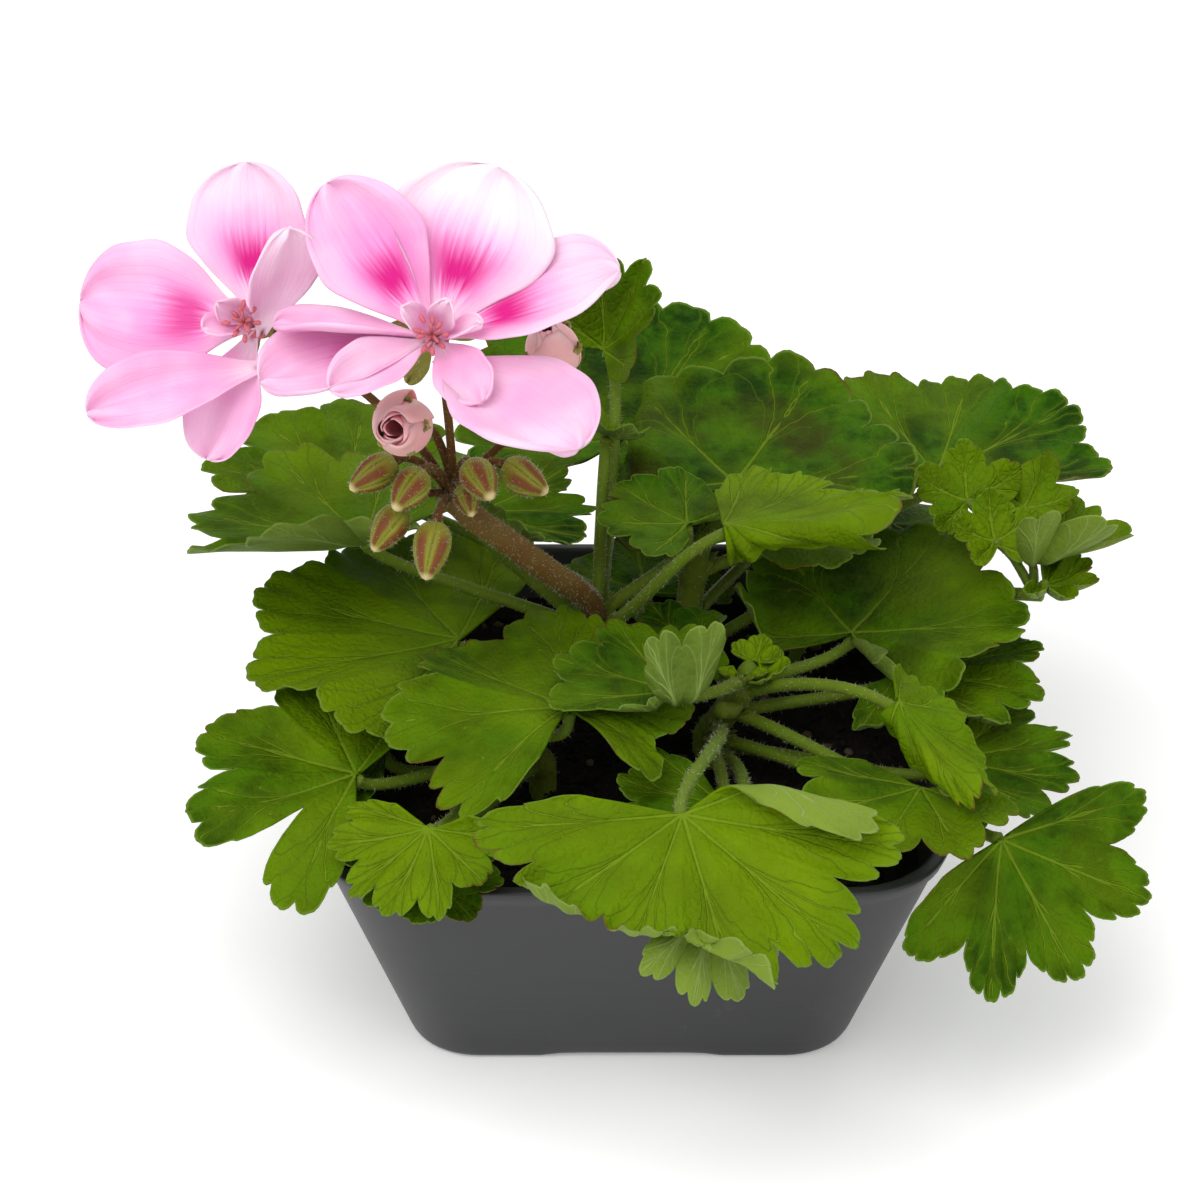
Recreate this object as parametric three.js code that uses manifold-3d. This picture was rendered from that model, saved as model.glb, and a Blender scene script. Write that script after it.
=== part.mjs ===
// Potted zonal geranium: a square nursery pot of potting soil with four leafy shoots and one flower head.
// Millimetres, +Z up. The origin is the middle of the pot's base, and -Y is the side seen in front.
import * as THREE from 'three';
import { mergeVertices } from 'three/addons/utils/BufferGeometryUtils.js';
import Module from 'manifold-3d';

// Driving dimensions of the pot and the soil
const potTopWidth = 110;
const potBaseWidth = 80;
const potHeight = 49;
const potCornerRadius = 17;
const potWall = 1.6;
const potFloor = 2.4;
const rimHeight = 3;
const rimOutset = 0.7;
const archWidth = 27;
const archDepth = 6;
const archHeight = 0.6;
const drainRadius = 3;
const drainOffset = 24;
const soilTop = 40;

// Driving dimensions of the plant
const seatGap = 0.3;
const bladeThickness = 0.8;
const stalkRadius = 1.1;
const stalkSteps = 4;
const stalkSides = 5;
const stalkRise = 0.35;
const stemHoleDepth = 12;
const petalThickness = 0.7;

const wasm = await Module();
wasm.setup();

const tones = {
  dark: 0x2c5a1c,
  mid: 0x4a7f22,
  lime: 0x8fb030,
  bronze: 0x3f5a22,
  stem: 0x6f8a3a,
  flowerStalk: 0x7a5a3a,
  petal: 0xf3b6dc,
  bud: 0x8f8a4a,
  openBud: 0xe79aa6,
  pot: 0x46484a,
  soil: 0x1d1712,
};

const finish = (tone, roughness) =>
  new THREE.MeshStandardMaterial({ color: tones[tone], roughness, metalness: 0 });

// Solids: a closed geometry becomes one that can be joined and cut, and goes back into a mesh

const solidOf = (geometry) => {
  const bare = geometry.clone();
  bare.deleteAttribute('normal');
  bare.deleteAttribute('uv');
  const merged = mergeVertices(bare, 1e-4);
  const triVerts = [];
  const index = merged.index.array;
  for (let i = 0; i < index.length; i += 3) {
    const [a, b, c] = [index[i], index[i + 1], index[i + 2]];
    if (a !== b && b !== c && c !== a) triVerts.push(a, b, c);
  }
  const vertProperties = new Float32Array(merged.attributes.position.array);
  const mesh = new wasm.Mesh({ numProp: 3, vertProperties, triVerts: new Uint32Array(triVerts) });
  return new wasm.Manifold(mesh);
};

const joined = (solids) => solids.reduce((sum, solid) => sum.add(solid));

// The largest body of a solid, without crumbs or closed hollows left by a join
const mainBody = (solid) => solid.decompose().reduce((a, b) => (a.volume() > b.volume() ? a : b));

const meshOf = (name, solid, material) => {
  const { vertProperties, triVerts } = mainBody(solid).getMesh();
  const geometry = new THREE.BufferGeometry();
  geometry.setAttribute('position', new THREE.BufferAttribute(vertProperties, 3));
  geometry.setIndex(new THREE.BufferAttribute(triVerts, 1));
  geometry.computeVertexNormals();
  const mesh = new THREE.Mesh(geometry, material);
  mesh.name = name;
  return mesh;
};

// Pot and soil: a rounded square that widens towards the rim

const roundedSquare = (width, radius) => {
  const half = width / 2;
  const straight = half - radius;
  const shape = new THREE.Shape();
  shape.moveTo(-straight, -half);
  shape.absarc(straight, -straight, radius, -Math.PI / 2, 0);
  shape.absarc(straight, straight, radius, 0, Math.PI / 2);
  shape.absarc(-straight, straight, radius, Math.PI / 2, Math.PI);
  shape.absarc(-straight, -straight, radius, Math.PI, 1.5 * Math.PI);
  return shape;
};

// The pot's width at height z, outside the wall
const potWidthAt = (z) => THREE.MathUtils.lerp(potBaseWidth, potTopWidth, z / potHeight);

// A rounded square prism from height low to high that follows the pot's slope, inset from its outside
const potBlock = (low, high, inset, cornerSteps = 4) => {
  const width = potTopWidth - 2 * inset;
  const geometry = new THREE.ExtrudeGeometry(roundedSquare(width, potCornerRadius - inset / 2), {
    depth: high - low,
    bevelEnabled: false,
    curveSegments: cornerSteps,
  });
  const at = geometry.attributes.position;
  for (let i = 0; i < at.count; i += 1) {
    const z = at.getZ(i) + low;
    const scale = (potWidthAt(z) - 2 * inset) / width;
    at.setXYZ(i, at.getX(i) * scale, at.getY(i) * scale, z);
  }
  return solidOf(geometry);
};

const cylinderBlock = (radius, low, high, x, y, sides = 8) => {
  const geometry = new THREE.CylinderGeometry(radius, radius, high - low, sides);
  geometry.rotateX(Math.PI / 2);
  geometry.translate(x, y, (low + high) / 2);
  return solidOf(geometry);
};

const makePot = () => {
  const shell = potBlock(0, potHeight, 0).add(potBlock(potHeight - rimHeight, potHeight, -rimOutset));
  let pot = shell.subtract(potBlock(potFloor, potHeight + 1, potWall));
  for (const [x, y] of [[1, 0], [-1, 0], [0, 1], [0, -1]]) {
    const across = archDepth * 2;
    const arch = new THREE.BoxGeometry(x ? across : archWidth, y ? across : archWidth, archHeight * 2);
    arch.translate((x * potBaseWidth) / 2, (y * potBaseWidth) / 2, 0);
    pot = pot.subtract(solidOf(arch));
  }
  for (const x of [-drainOffset, drainOffset]) {
    for (const y of [-drainOffset, drainOffset]) {
      pot = pot.subtract(cylinderBlock(drainRadius, -1, potFloor + 1, x, y));
    }
  }
  return meshOf('pot', pot, finish('pot', 0.45));
};

// Shoots: each stem stands in the soil, and its leaf stalks and side stems branch from it

const shoots = {
  main: { radius: 3.2, path: [[-4, 11, 40], [-4, 11, 47], [-5, 10, 55], [-6, 9, 63]] },
  right: { radius: 2.5, path: [[14, -4, 40], [14, -4, 46], [17, -7, 53], [20, -10, 61]] },
  left: { radius: 2.6, path: [[-16, -14, 40], [-16, -14, 46], [-19, -17, 52], [-22, -19, 58]] },
  back: { radius: 2.6, path: [[10, 16, 40], [10, 16, 50], [11, 18, 62], [12, 19, 72]] },
};

const vector = (point) => new THREE.Vector3(...point);

const curveOf = (points) => new THREE.CatmullRomCurve3(points.map(vector));

// A round stalk along a curve, closed at both ends
const tube = (curve, radius, steps, sides = 6) => {
  const ring = new THREE.Shape();
  for (let i = 0; i < sides; i += 1) {
    const angle = (2 * Math.PI * i) / sides;
    const [x, y] = [radius * Math.cos(angle), radius * Math.sin(angle)];
    if (i === 0) ring.moveTo(x, y);
    else ring.lineTo(x, y);
  }
  return solidOf(new THREE.ExtrudeGeometry(ring, { steps, extrudePath: curve, bevelEnabled: false }));
};

// Leaves: a kidney-shaped blade of rounded lobes with a toothed edge, tilted, cupped and folded.
// Angles are in degrees. A fold is [direction from the middle vein, distance / reach, angle, radius / reach,
// side], and a negative angle folds the blade upwards. Side limits it to the left (1) or right (-1) half.
// A cleft is one deeper gap between two lobes: [direction, share of the reach, half width].

const leafDefaults = {
  lobes: 7,
  teeth: 3,
  lobeDepth: 0.2,
  toothDepth: 0.06,
  open: [14, 14],
  basal: 0.25,
  wide: 1,
  cup: 0.05,
  pleat: 0.03,
  wave: [0.04, 5, 0],
  cleft: [0, 0, 10],
  folds: [],
  shares: [0.4, 0.72, 1],
  under: [6, 3],
  sway: [0, 0, 3],
};

const leafPlan = [
  { name: 'leaf_left_folded', at: [-48, 12, 78], heading: -172, pitch: -2, roll: 0, reach: 34, teeth: 3,
    open: [14, 60], cup: 0.03, folds: [[90, 0, -38, 0.12]], tone: 'mid', shoot: 'main', joint: 0.8 },
  { name: 'leaf_left_back', at: [-53, 44, 71], heading: 180, pitch: 0, roll: 0, reach: 28,
    lobeDepth: 0.26, cup: 0.05, shares: [0.55, 1], tone: 'dark', shoot: 'main', joint: 1, under: [3, 4],
    sway: [0, 0, 9] },
  { name: 'leaf_left_large', at: [-31, 0, 64], heading: 155, pitch: 0, roll: 2, reach: 40, lobes: 5,
    teeth: 4, lobeDepth: 0.14, open: [80, 70], cup: 0.03, tone: 'dark', shoot: 'left', joint: 1 },
  { name: 'leaf_front_left', at: [-11, -30, 70], heading: 95, pitch: -6, roll: 0, reach: 33, teeth: 4,
    open: [22, 22], basal: 0.04, cup: 0.03, cleft: [-110, 0.42, 45],
    folds: [[150, 0.1, 25, 0.8], [-115, 0.15, 30, 0.4]], tone: 'dark', shoot: 'left', joint: 0.9 },
  { name: 'leaf_left_lobed', at: [-48, -34, 58.6], heading: -160, pitch: -5, roll: -7, reach: 31,
    lobes: 5, teeth: 4, lobeDepth: 0.28, open: [20, 108], cup: 0.02, cleft: [22, 0.55, 5],
    folds: [[60, 0.3, 22, 0.3, 1]], tone: 'mid', shoot: 'left', joint: 0.6 },
  { name: 'leaf_front_left_pale', at: [-34.7, -53.9, 61.8], heading: -115, pitch: -32, roll: 8,
    reach: 18, open: [70, 70], cup: 0.05, wave: [0.08, 6, 40], tone: 'mid', shoot: 'left', joint: 0.7 },
  { name: 'leaf_front_left_rim', at: [-35.5, -52.5, 53], heading: -95, pitch: -18, roll: -8,
    reach: 13.5, open: [40, 40], wide: 1.1, cup: 0.05, shares: [0.55, 1], tone: 'dark', shoot: 'left',
    joint: 0.4 },
  { name: 'leaf_left_inner', at: [-43.7, -20, 53.4], heading: 160, pitch: 4, roll: 0, reach: 19,
    lobes: 5, teeth: 2, open: [70, 70], cup: 0.04, shares: [0.55, 1], tone: 'dark', shoot: 'left',
    joint: 0.35 },
  { name: 'leaf_front_centre', at: [8, -68, 75], heading: -80, pitch: -36, roll: 0, reach: 36, teeth: 4,
    open: [72, 58], wide: 1.08, cup: 0.03, cleft: [-30, 0.27, 28],
    folds: [[-26, 0.59, -100, 0.05], [10, 0.78, 120, 0.06], [165, 0.08, -160, 0.08, 1]],
    shares: [0.35, 0.62, 1], tone: 'lime', shoot: 'right', joint: 0.45, under: [3, 8],
    sway: [8, 0, 3] },
  { name: 'leaf_front_hanging', at: [11.2, -76.2, 61.9], heading: -45, pitch: -52, roll: 180, reach: 17,
    lobes: 5, teeth: 3, lobeDepth: 0.26, open: [85, 85], cup: 0.05, shares: [0.55, 1], tone: 'lime',
    shoot: 'right', joint: 0.15, under: [3, 8], sway: [16, 6, -2] },
  { name: 'leaf_right_front', at: [63.5, -46, 53.5], heading: -5, pitch: -35, roll: 48, reach: 29,
    lobes: 5, teeth: 5, lobeDepth: 0.3, open: [58, 115], cup: 0.05, tone: 'mid', shoot: 'right',
    joint: 0.3 },
  { name: 'leaf_right_small', at: [50, -37, 58], heading: -175, pitch: 0, roll: 0, reach: 23, lobes: 5,
    open: [135, 14], cup: 0.02, tone: 'mid', shoot: 'right', joint: 0.7 },
  { name: 'leaf_right_upper', at: [49, 0, 58], heading: 0, pitch: 0, roll: 0, reach: 27, open: [50, 90],
    cup: 0.02, folds: [[-90, 0.6, -95, 0.2]], shares: [0.55, 1], tone: 'dark', shoot: 'right',
    joint: 0.6 },
  { name: 'leaf_right_lower', at: [56, -22, 53], heading: 3, pitch: 0, roll: 0, reach: 24,
    open: [80, 50], cup: 0.02, shares: [0.55, 1], tone: 'dark', shoot: 'right', joint: 0.2 },
  { name: 'leaf_right_yellow', at: [46, -31, 72], heading: -50, pitch: -22, roll: -20, reach: 25,
    open: [88, 55], wide: 0.45, cup: 0.03, folds: [[-90, 0, 160, 0.08]], tone: 'lime', shoot: 'right',
    joint: 0.85, under: [2, 9] },
  { name: 'leaf_right_large', at: [40, 5, 62], heading: 40, pitch: 10, roll: -2, reach: 33, lobes: 5,
    teeth: 4, lobeDepth: 0.16, open: [42, 14], basal: 0.35, cup: 0.04, cleft: [-125, 0.4, 20],
    folds: [[150, 0.4, -60, 0.12, 1], [172, 0.02, -140, 0.06, -1]], tone: 'dark', shoot: 'right',
    joint: 0.95, under: [2, 8] },
  { name: 'leaf_back_right', at: [57, 37, 76], heading: 50, pitch: 3, roll: 2, reach: 34, lobes: 5,
    teeth: 4, lobeDepth: 0.14, open: [110, 60], cup: 0.04, tone: 'dark', shoot: 'back', joint: 0.8 },
  { name: 'leaf_back_bronze', at: [19, 26, 81], heading: 75, pitch: 8, roll: 2, reach: 36, lobes: 5,
    teeth: 4, lobeDepth: 0.12, open: [14, 40], cup: 0.04, folds: [[100, 0.45, 165, 0.06]],
    tone: 'bronze', shoot: 'back', joint: 1 },
  { name: 'leaf_back_left', at: [-1, 52, 75], heading: 60, pitch: 10, roll: 9, reach: 38, lobes: 5,
    teeth: 4, lobeDepth: 0.12, cup: 0.05, tone: 'dark', shoot: 'main', joint: 0.9 },
  { name: 'leaf_top_folded', at: [-5, 46, 97.5], heading: 25, pitch: 58, roll: 0, reach: 20, lobes: 5,
    teeth: 2, lobeDepth: 0.12, open: [75, 75], wide: 0.7, cup: 0.05, folds: [[90, 0, -60, 0.1]],
    tone: 'dark', shoot: 'main', joint: 1 },
  { name: 'leaf_top_small', at: [-4, 29, 90], heading: -130, pitch: 35, roll: 0, reach: 8, lobes: 5,
    teeth: 2, cup: 0.3, wave: [0.15, 6, 0], shares: [0.55, 1], tone: 'mid', shoot: 'main', joint: 1 },
  { name: 'leaf_centre_folded', at: [16, -6, 92.2], heading: 2, pitch: 3, roll: -18, reach: 34,
    teeth: 3, open: [95, 88], cup: 0.03, cleft: [-65, 0.65, 35], folds: [[-90, 0.02, 165, 0.06]],
    tone: 'mid', shoot: 'main', joint: 0.9, under: [2, 9], sway: [2, -7, 0] },
  { name: 'leaf_centre_back', at: [10, 9, 83], heading: 180, pitch: 8, roll: 0, reach: 17, lobes: 5,
    open: [14, 90], cup: 0.05, tone: 'dark', shoot: 'main', joint: 1 },
  { name: 'leaf_centre_low', at: [3.2, 35, 51.2], heading: 100, pitch: 0, roll: 0, reach: 18.5,
    lobes: 5, teeth: 2, open: [50, 55], cup: 0.05, shares: [0.55, 1], tone: 'dark', shoot: 'back',
    joint: 0.3 },
  { name: 'leaf_under_flower', at: [-27, 12, 84], heading: -28, pitch: -5, roll: 0, reach: 21,
    open: [60, 60], cup: 0.05, folds: [[-90, 0.12, -50, 0.15]], tone: 'dark', shoot: 'main',
    joint: 0.75 },
  { name: 'leaf_centre_wavy', at: [7, -28, 72.4], heading: 195, pitch: 0, roll: 0, reach: 23,
    open: [45, 45], cup: 0.03, cleft: [50, 0.6, 25], folds: [[95, 0.12, -100, 0.1]], tone: 'dark',
    shoot: 'right', joint: 1, under: [1.5, 10] },
  { name: 'leaf_inner_dark', at: [10, -0.8, 64], heading: 180, pitch: 0, roll: 0, reach: 13.5, lobes: 5,
    open: [30, 30], cup: 0.03, shares: [0.55, 1], tone: 'dark', shoot: 'right', joint: 0.9 },
  { name: 'leaf_front_under', at: [15.8, -44, 59.2], heading: -128, pitch: -6, roll: -5, reach: 20,
    lobes: 5, teeth: 3, open: [63, 142], basal: 0.1, cup: 0.02, shares: [0.55, 1], tone: 'dark',
    shoot: 'right', joint: 0.35 },
  { name: 'leaf_rear_right', at: [34, 58, 62], heading: 75, pitch: -15, roll: 0, reach: 26, lobes: 5,
    teeth: 2, shares: [0.55, 1], tone: 'dark', shoot: 'back', joint: 0.5 },
  { name: 'leaf_rear_left', at: [-32, 56, 60], heading: 110, pitch: -15, roll: 0, reach: 24, lobes: 5,
    teeth: 2, shares: [0.55, 1], tone: 'dark', shoot: 'back', joint: 0.4 },
  { name: 'leaf_rear_corner', at: [50, 50, 57], heading: 40, pitch: -20, roll: 0, reach: 18, lobes: 5,
    teeth: 2, shares: [0.55, 1], tone: 'dark', shoot: 'back', joint: 0.3 },
];

const degrees = THREE.MathUtils.degToRad;

// Unit vectors along the middle vein, to its left, and up from the blade
const leafFrame = ({ heading, pitch, roll }) => {
  const [h, p, r] = [heading, pitch, roll].map(degrees);
  const vein = new THREE.Vector3(Math.cos(h) * Math.cos(p), Math.sin(h) * Math.cos(p), Math.sin(p));
  const level = new THREE.Vector3(-Math.sin(h), Math.cos(h), 0);
  const above = vein.clone().cross(level);
  const left = level.clone().multiplyScalar(Math.cos(r)).addScaledVector(above, Math.sin(r));
  const up = above.clone().multiplyScalar(Math.cos(r)).addScaledVector(level, -Math.sin(r));
  return { vein, left, up };
};

// The blade reaches from first to last round its navel, and is open behind
const bladeLimits = (leaf) => {
  const [right, left] = leaf.open;
  return { first: degrees(right - 180), last: degrees(180 - left) };
};

// A wave from 0 at the edges of each part to 1 in its middle, for parts counted round the blade
const scallop = (theta, leaf, parts) => {
  const { first, last } = bladeLimits(leaf);
  return Math.abs(Math.sin((Math.PI * parts * (theta - first)) / (last - first)));
};

// The blade's edge as a share of its reach, in the direction theta from the middle vein
const edgeAt = (theta, leaf) => {
  const { first, last } = bladeLimits(leaf);
  const toCorner = Math.min(theta - first, last - theta);
  const round = 1 - leaf.basal * (Math.abs(theta) / 2.9) ** 2.2 - 0.3 * Math.exp(-((toCorner / 0.16) ** 2));
  const lobe = scallop(theta, leaf, leaf.lobes) ** 0.8;
  const tooth = scallop(theta, leaf, leaf.lobes * leaf.teeth) ** 0.6;
  const [direction, depth, width] = leaf.cleft;
  const cleft = 1 - depth * Math.exp(-(((theta - degrees(direction)) / degrees(width)) ** 2));
  return round * cleft * (1 - leaf.lobeDepth * (1 - lobe)) * (1 - leaf.toothDepth * (1 - tooth));
};

// Carries a point of the sheet round the arc of a fold
const foldPoint = (point, [direction, distance, angle, radius], reach) => {
  const [d, turn] = [degrees(direction), degrees(Math.abs(angle))];
  const sign = Math.sign(angle);
  const along = point.x * Math.cos(d) + point.y * Math.sin(d) - distance * reach;
  if (along <= 0) return point;
  const beside = -point.x * Math.sin(d) + point.y * Math.cos(d);
  const bendRadius = radius * reach;
  const arc = Math.min(along / bendRadius, turn);
  const rest = Math.max(along - bendRadius * turn, 0);
  const out = bendRadius * Math.sin(arc) + rest * Math.cos(turn) + sign * Math.sin(arc) * point.z;
  const down = bendRadius * (1 - Math.cos(arc)) + rest * Math.sin(turn);
  const s = out + distance * reach;
  const z = -sign * down + Math.cos(arc) * point.z;
  return new THREE.Vector3(s * Math.cos(d) - beside * Math.sin(d), s * Math.sin(d) + beside * Math.cos(d), z);
};

// The blade's middle surface before it is placed: theta round the navel, share from the navel to the edge
const bladePoint = (theta, share, leaf) => {
  const distance = share * edgeAt(theta, leaf) * leaf.reach;
  const lobe = scallop(theta, leaf, leaf.lobes);
  const [height, count, phase] = leaf.wave;
  const rise =
    leaf.cup * share ** 2 +
    leaf.pleat * share * (1 - lobe) * (0.3 + 0.7 * share) +
    height * share ** 2.2 * Math.cos(count * theta + degrees(phase));
  let point = new THREE.Vector3(distance * Math.cos(theta), distance * Math.sin(theta) * leaf.wide, 0);
  point.z = leaf.reach * rise;
  for (const fold of leaf.folds) {
    const side = fold[4] || 0;
    if (side * theta >= 0) point = foldPoint(point, fold, leaf.reach);
  }
  return point;
};

// Two copies of a grid of points, half the thickness to each side, joined by a band round the edge
const sheetSolid = (middle, normals, faces, edge, thickness) => {
  const count = middle.length;
  const positions = [];
  for (const side of [0.5, -0.5]) {
    middle.forEach((point, i) => {
      positions.push(...point.clone().addScaledVector(normals[i], side * thickness).toArray());
    });
  }
  const index = [];
  for (const [a, b, c] of faces) index.push(a, b, c, count + a, count + c, count + b);
  edge.forEach((a, i) => {
    const b = edge[(i + 1) % edge.length];
    index.push(a, count + a, b, b, count + a, count + b);
  });
  const geometry = new THREE.BufferGeometry();
  geometry.setAttribute('position', new THREE.Float32BufferAttribute(positions, 3));
  geometry.setIndex(index);
  return solidOf(geometry);
};

// Triangles between two rows of points that start and end together
const strip = (inner, outer) => {
  const faces = [];
  let [i, j] = [0, 0];
  while (i < inner.length - 1 || j < outer.length - 1) {
    const innerNext = i < inner.length - 1 ? (i + 1) / (inner.length - 1) : 2;
    const outerNext = j < outer.length - 1 ? (j + 1) / (outer.length - 1) : 2;
    if (outerNext <= innerNext) {
      faces.push([inner[i], outer[j], outer[j + 1]]);
      j += 1;
    } else {
      faces.push([inner[i], outer[j], inner[i + 1]]);
      i += 1;
    }
  }
  return faces;
};

// Turns a vector given along three unit vectors into the plant's own axes
const along = ([first, second, third]) => (v) =>
  new THREE.Vector3().addScaledVector(first, v.x).addScaledVector(second, v.y).addScaledVector(third, v.z);

// The small step, as an angle or a share, over which the slope of a sheet is measured
const slopeStep = 0.02;

// The direction up from the blade's surface
const bladeNormal = (theta, share, leaf) => {
  const { first, last } = bladeLimits(leaf);
  const inside = THREE.MathUtils.clamp(theta, first + slopeStep, last - slopeStep);
  const almost = share * 0.99;
  const outward = bladePoint(inside, share, leaf).sub(bladePoint(inside, share - slopeStep, leaf));
  const ahead = bladePoint(inside + slopeStep, almost, leaf);
  return outward.cross(ahead.sub(bladePoint(inside - slopeStep, almost, leaf))).normalize();
};

// A blade is built in rows round its navel, with more points in each row towards the edge
const makeBlade = (leaf) => {
  const { first, last } = bladeLimits(leaf);
  const teeth = leaf.lobes * leaf.teeth;
  const middle = [new THREE.Vector3()];
  const normals = [new THREE.Vector3(0, 0, 1)];
  const rows = leaf.shares.map((share, ring) => {
    const outerSteps = share < 1 ? teeth : teeth * 2;
    const steps = ring === 0 ? Math.round(teeth / 2) : outerSteps;
    const row = [];
    for (let i = 0; i <= steps; i += 1) {
      const theta = first + ((last - first) * i) / steps;
      row.push(middle.length);
      middle.push(bladePoint(theta, share, leaf));
      normals.push(bladeNormal(theta, share, leaf));
    }
    return row;
  });
  const faces = [];
  for (let i = 0; i < rows[0].length - 1; i += 1) faces.push([0, rows[0][i], rows[0][i + 1]]);
  for (let i = 0; i < rows.length - 1; i += 1) faces.push(...strip(rows[i], rows[i + 1]));
  const inner = rows.slice(0, -1);
  const lastSide = inner.map((row) => row.at(-1)).reverse();
  const edge = [0, ...inner.map((row) => row[0]), ...rows.at(-1), ...lastSide];
  const { vein, left, up } = leafFrame(leaf);
  const place = along([vein, left, up]);
  const points = middle.map((v) => place(v).add(vector(leaf.at)));
  return sheetSolid(points, normals.map(place), faces, edge, bladeThickness);
};

// A leaf stalk rises from its stem and ends just under the blade's navel
const makeStalk = (leaf, grown) => {
  const { vein, up } = leafFrame(leaf);
  const [below, behind] = leaf.under;
  const slant = behind / Math.hypot(below, behind);
  const drop = bladeThickness / 2 + seatGap + stalkRadius * slant;
  const end = vector(leaf.at).addScaledVector(up, -drop);
  const approach = end.clone().addScaledVector(up, -below).addScaledVector(vein, -behind);
  const start = curveOf(shoots[leaf.shoot].path).getPoint(leaf.joint);
  const rise = start.clone().lerp(approach, stalkRise).add(vector(leaf.sway));
  const curve = new THREE.CubicBezierCurve3(start, rise, approach, end);
  return tube(curve, stalkRadius + grown, stalkSteps, stalkSides);
};

const leaves = leafPlan.map((entry) => ({ ...leafDefaults, ...entry }));

// A stem with its leaf stalks, grown all round by the clearance another stalk keeps from it
const shootSolid = (name, grown = 0) => {
  const { radius, path } = shoots[name];
  const foot = [path[0][0], path[0][1], soilTop - stemHoleDepth + seatGap];
  const stem = tube(curveOf([foot, ...path]), radius + grown, 7, 8);
  const stalks = leaves.filter((leaf) => leaf.shoot === name).map((leaf) => makeStalk(leaf, grown));
  return joined([stem, ...stalks]);
};

// The cut end of an old stalk low on the right shoot
const stub = { radius: 1.5, path: [[19, -9, 57], [18, -12, 57], [16, -15, 59]] };

const makeStub = () => tube(curveOf(stub.path), stub.radius, 2, 5);

const makeShoot = (name) => {
  const solid = shootSolid(name);
  const whole = name === 'right' ? solid.add(makeStub()) : solid;
  return meshOf(`shoot_${name}`, whole, finish('stem', 0.6));
};

// A solid turned about its own axis: points [radius, height] from below, set with its axis along a direction
const turned = (points, sides, at, axis) => {
  const profile = points.map(([x, y]) => new THREE.Vector2(x, y));
  const geometry = new THREE.LatheGeometry(profile, sides);
  const upright = new THREE.Vector3(0, 1, 0);
  geometry.applyQuaternion(new THREE.Quaternion().setFromUnitVectors(upright, axis.clone().normalize()));
  geometry.translate(at.x, at.y, at.z);
  return solidOf(geometry);
};

// The growing tip of the right shoot: a small bud with three crumpled leaflets
const tipLeaf = { lobes: 3, teeth: 1, cup: 0.3, shares: [0.55, 1], open: [70, 70], roll: 0, pitch: 15 };

const tipLeaflets = [
  { at: [20, -12, 64], heading: -100, reach: 5 },
  { at: [23, -11, 64], heading: -20, reach: 6 },
  { at: [22, -8, 65], heading: 70, reach: 5 },
];

const makeTip = () => {
  const profile = [[0, 0], [1.6, 0.2], [2.2, 2], [1.2, 4], [0, 5]];
  const bud = turned(profile, 6, new THREE.Vector3(20.8, -10.2, 61.5), new THREE.Vector3(0, 0, 1));
  const blades = tipLeaflets.map((leaf) => makeBlade({ ...leafDefaults, ...tipLeaf, ...leaf }));
  const whole = joined([bud, ...blades]).subtract(shootSolid('right', seatGap));
  return meshOf('shoot_right_tip', whole, finish('lime', 0.6));
};

// The young shoot at the right: its own thin stem and five small curled leaves
const youngStem = {
  radius: 1.2,
  stalkRadius: 0.8,
  joint: 0.97,
  path: [
    [30, 22, 40], [31, 22, 46], [36, 22, 54], [45, 21, 61], [58, 19, 62.5], [68, 16, 63.5], [75, 13, 65],
  ],
};

const youngLeaf = { lobes: 5, teeth: 1, lobeDepth: 0.3, roll: 0, shares: [0.5, 1] };

const youngPlan = [
  { at: [61.5, 23, 79], heading: 95, pitch: 35, reach: 11, cup: 0.25, wave: [0.15, 6, 0] },
  { at: [72, 24, 77], heading: 60, pitch: 20, reach: 11, cup: 0.25, wave: [0.15, 6, 60] },
  { at: [66, 14, 76], heading: 100, pitch: 30, reach: 9, cup: 0.3, wave: [0.15, 6, 30] },
  { at: [72, 12, 74], heading: 5, pitch: 5, reach: 20, teeth: 2, open: [70, 70], cup: 0.1,
    folds: [[-90, 0.05, -60, 0.15]] },
  { at: [75, 9, 70], heading: -20, pitch: 0, reach: 10, lobeDepth: 0.35, open: [60, 60], cup: 0.3 },
];

const makeSoil = () => {
  let soil = potBlock(potFloor + seatGap, soilTop, potWall + seatGap);
  for (const { radius, path } of [...Object.values(shoots), youngStem]) {
    const [x, y] = path[0];
    const hole = cylinderBlock(radius + seatGap, soilTop - stemHoleDepth, soilTop + 1, x, y);
    soil = soil.subtract(hole);
  }
  return meshOf('potting_soil', soil, finish('soil', 0.95));
};

const makeYoungShoot = () => {
  const foot = [30, 22, soilTop - stemHoleDepth + seatGap];
  const stemCurve = curveOf([foot, ...youngStem.path]);
  const solids = [tube(stemCurve, youngStem.radius, 8, 5)];
  youngPlan.forEach((entry) => {
    const leaf = { ...leafDefaults, ...youngLeaf, ...entry };
    const navel = vector(leaf.at);
    const start = stemCurve.getPoint(youngStem.joint);
    const middle = start.clone().lerp(navel, 0.5).add(new THREE.Vector3(1, 0, 2));
    const stalk = new THREE.QuadraticBezierCurve3(start, middle, navel);
    solids.push(tube(stalk, youngStem.stalkRadius, 3, 5));
    solids.push(makeBlade(leaf));
  });
  return meshOf('young_shoot_right', joined(solids), finish('mid', 0.6));
};

// Florets: petals set round an axis that points out of the flower. Turn goes round the axis from its level
// side, lift raises a petal towards the axis, twist turns it about its own length, and shift moves its base.

const clawStart = 1.2;
const petalDefaults = { lift: 15, twist: 0, sag: 0, hollow: 0.1, ruffle: 0.045, phase: 0, shift: [0, 0] };

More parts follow.
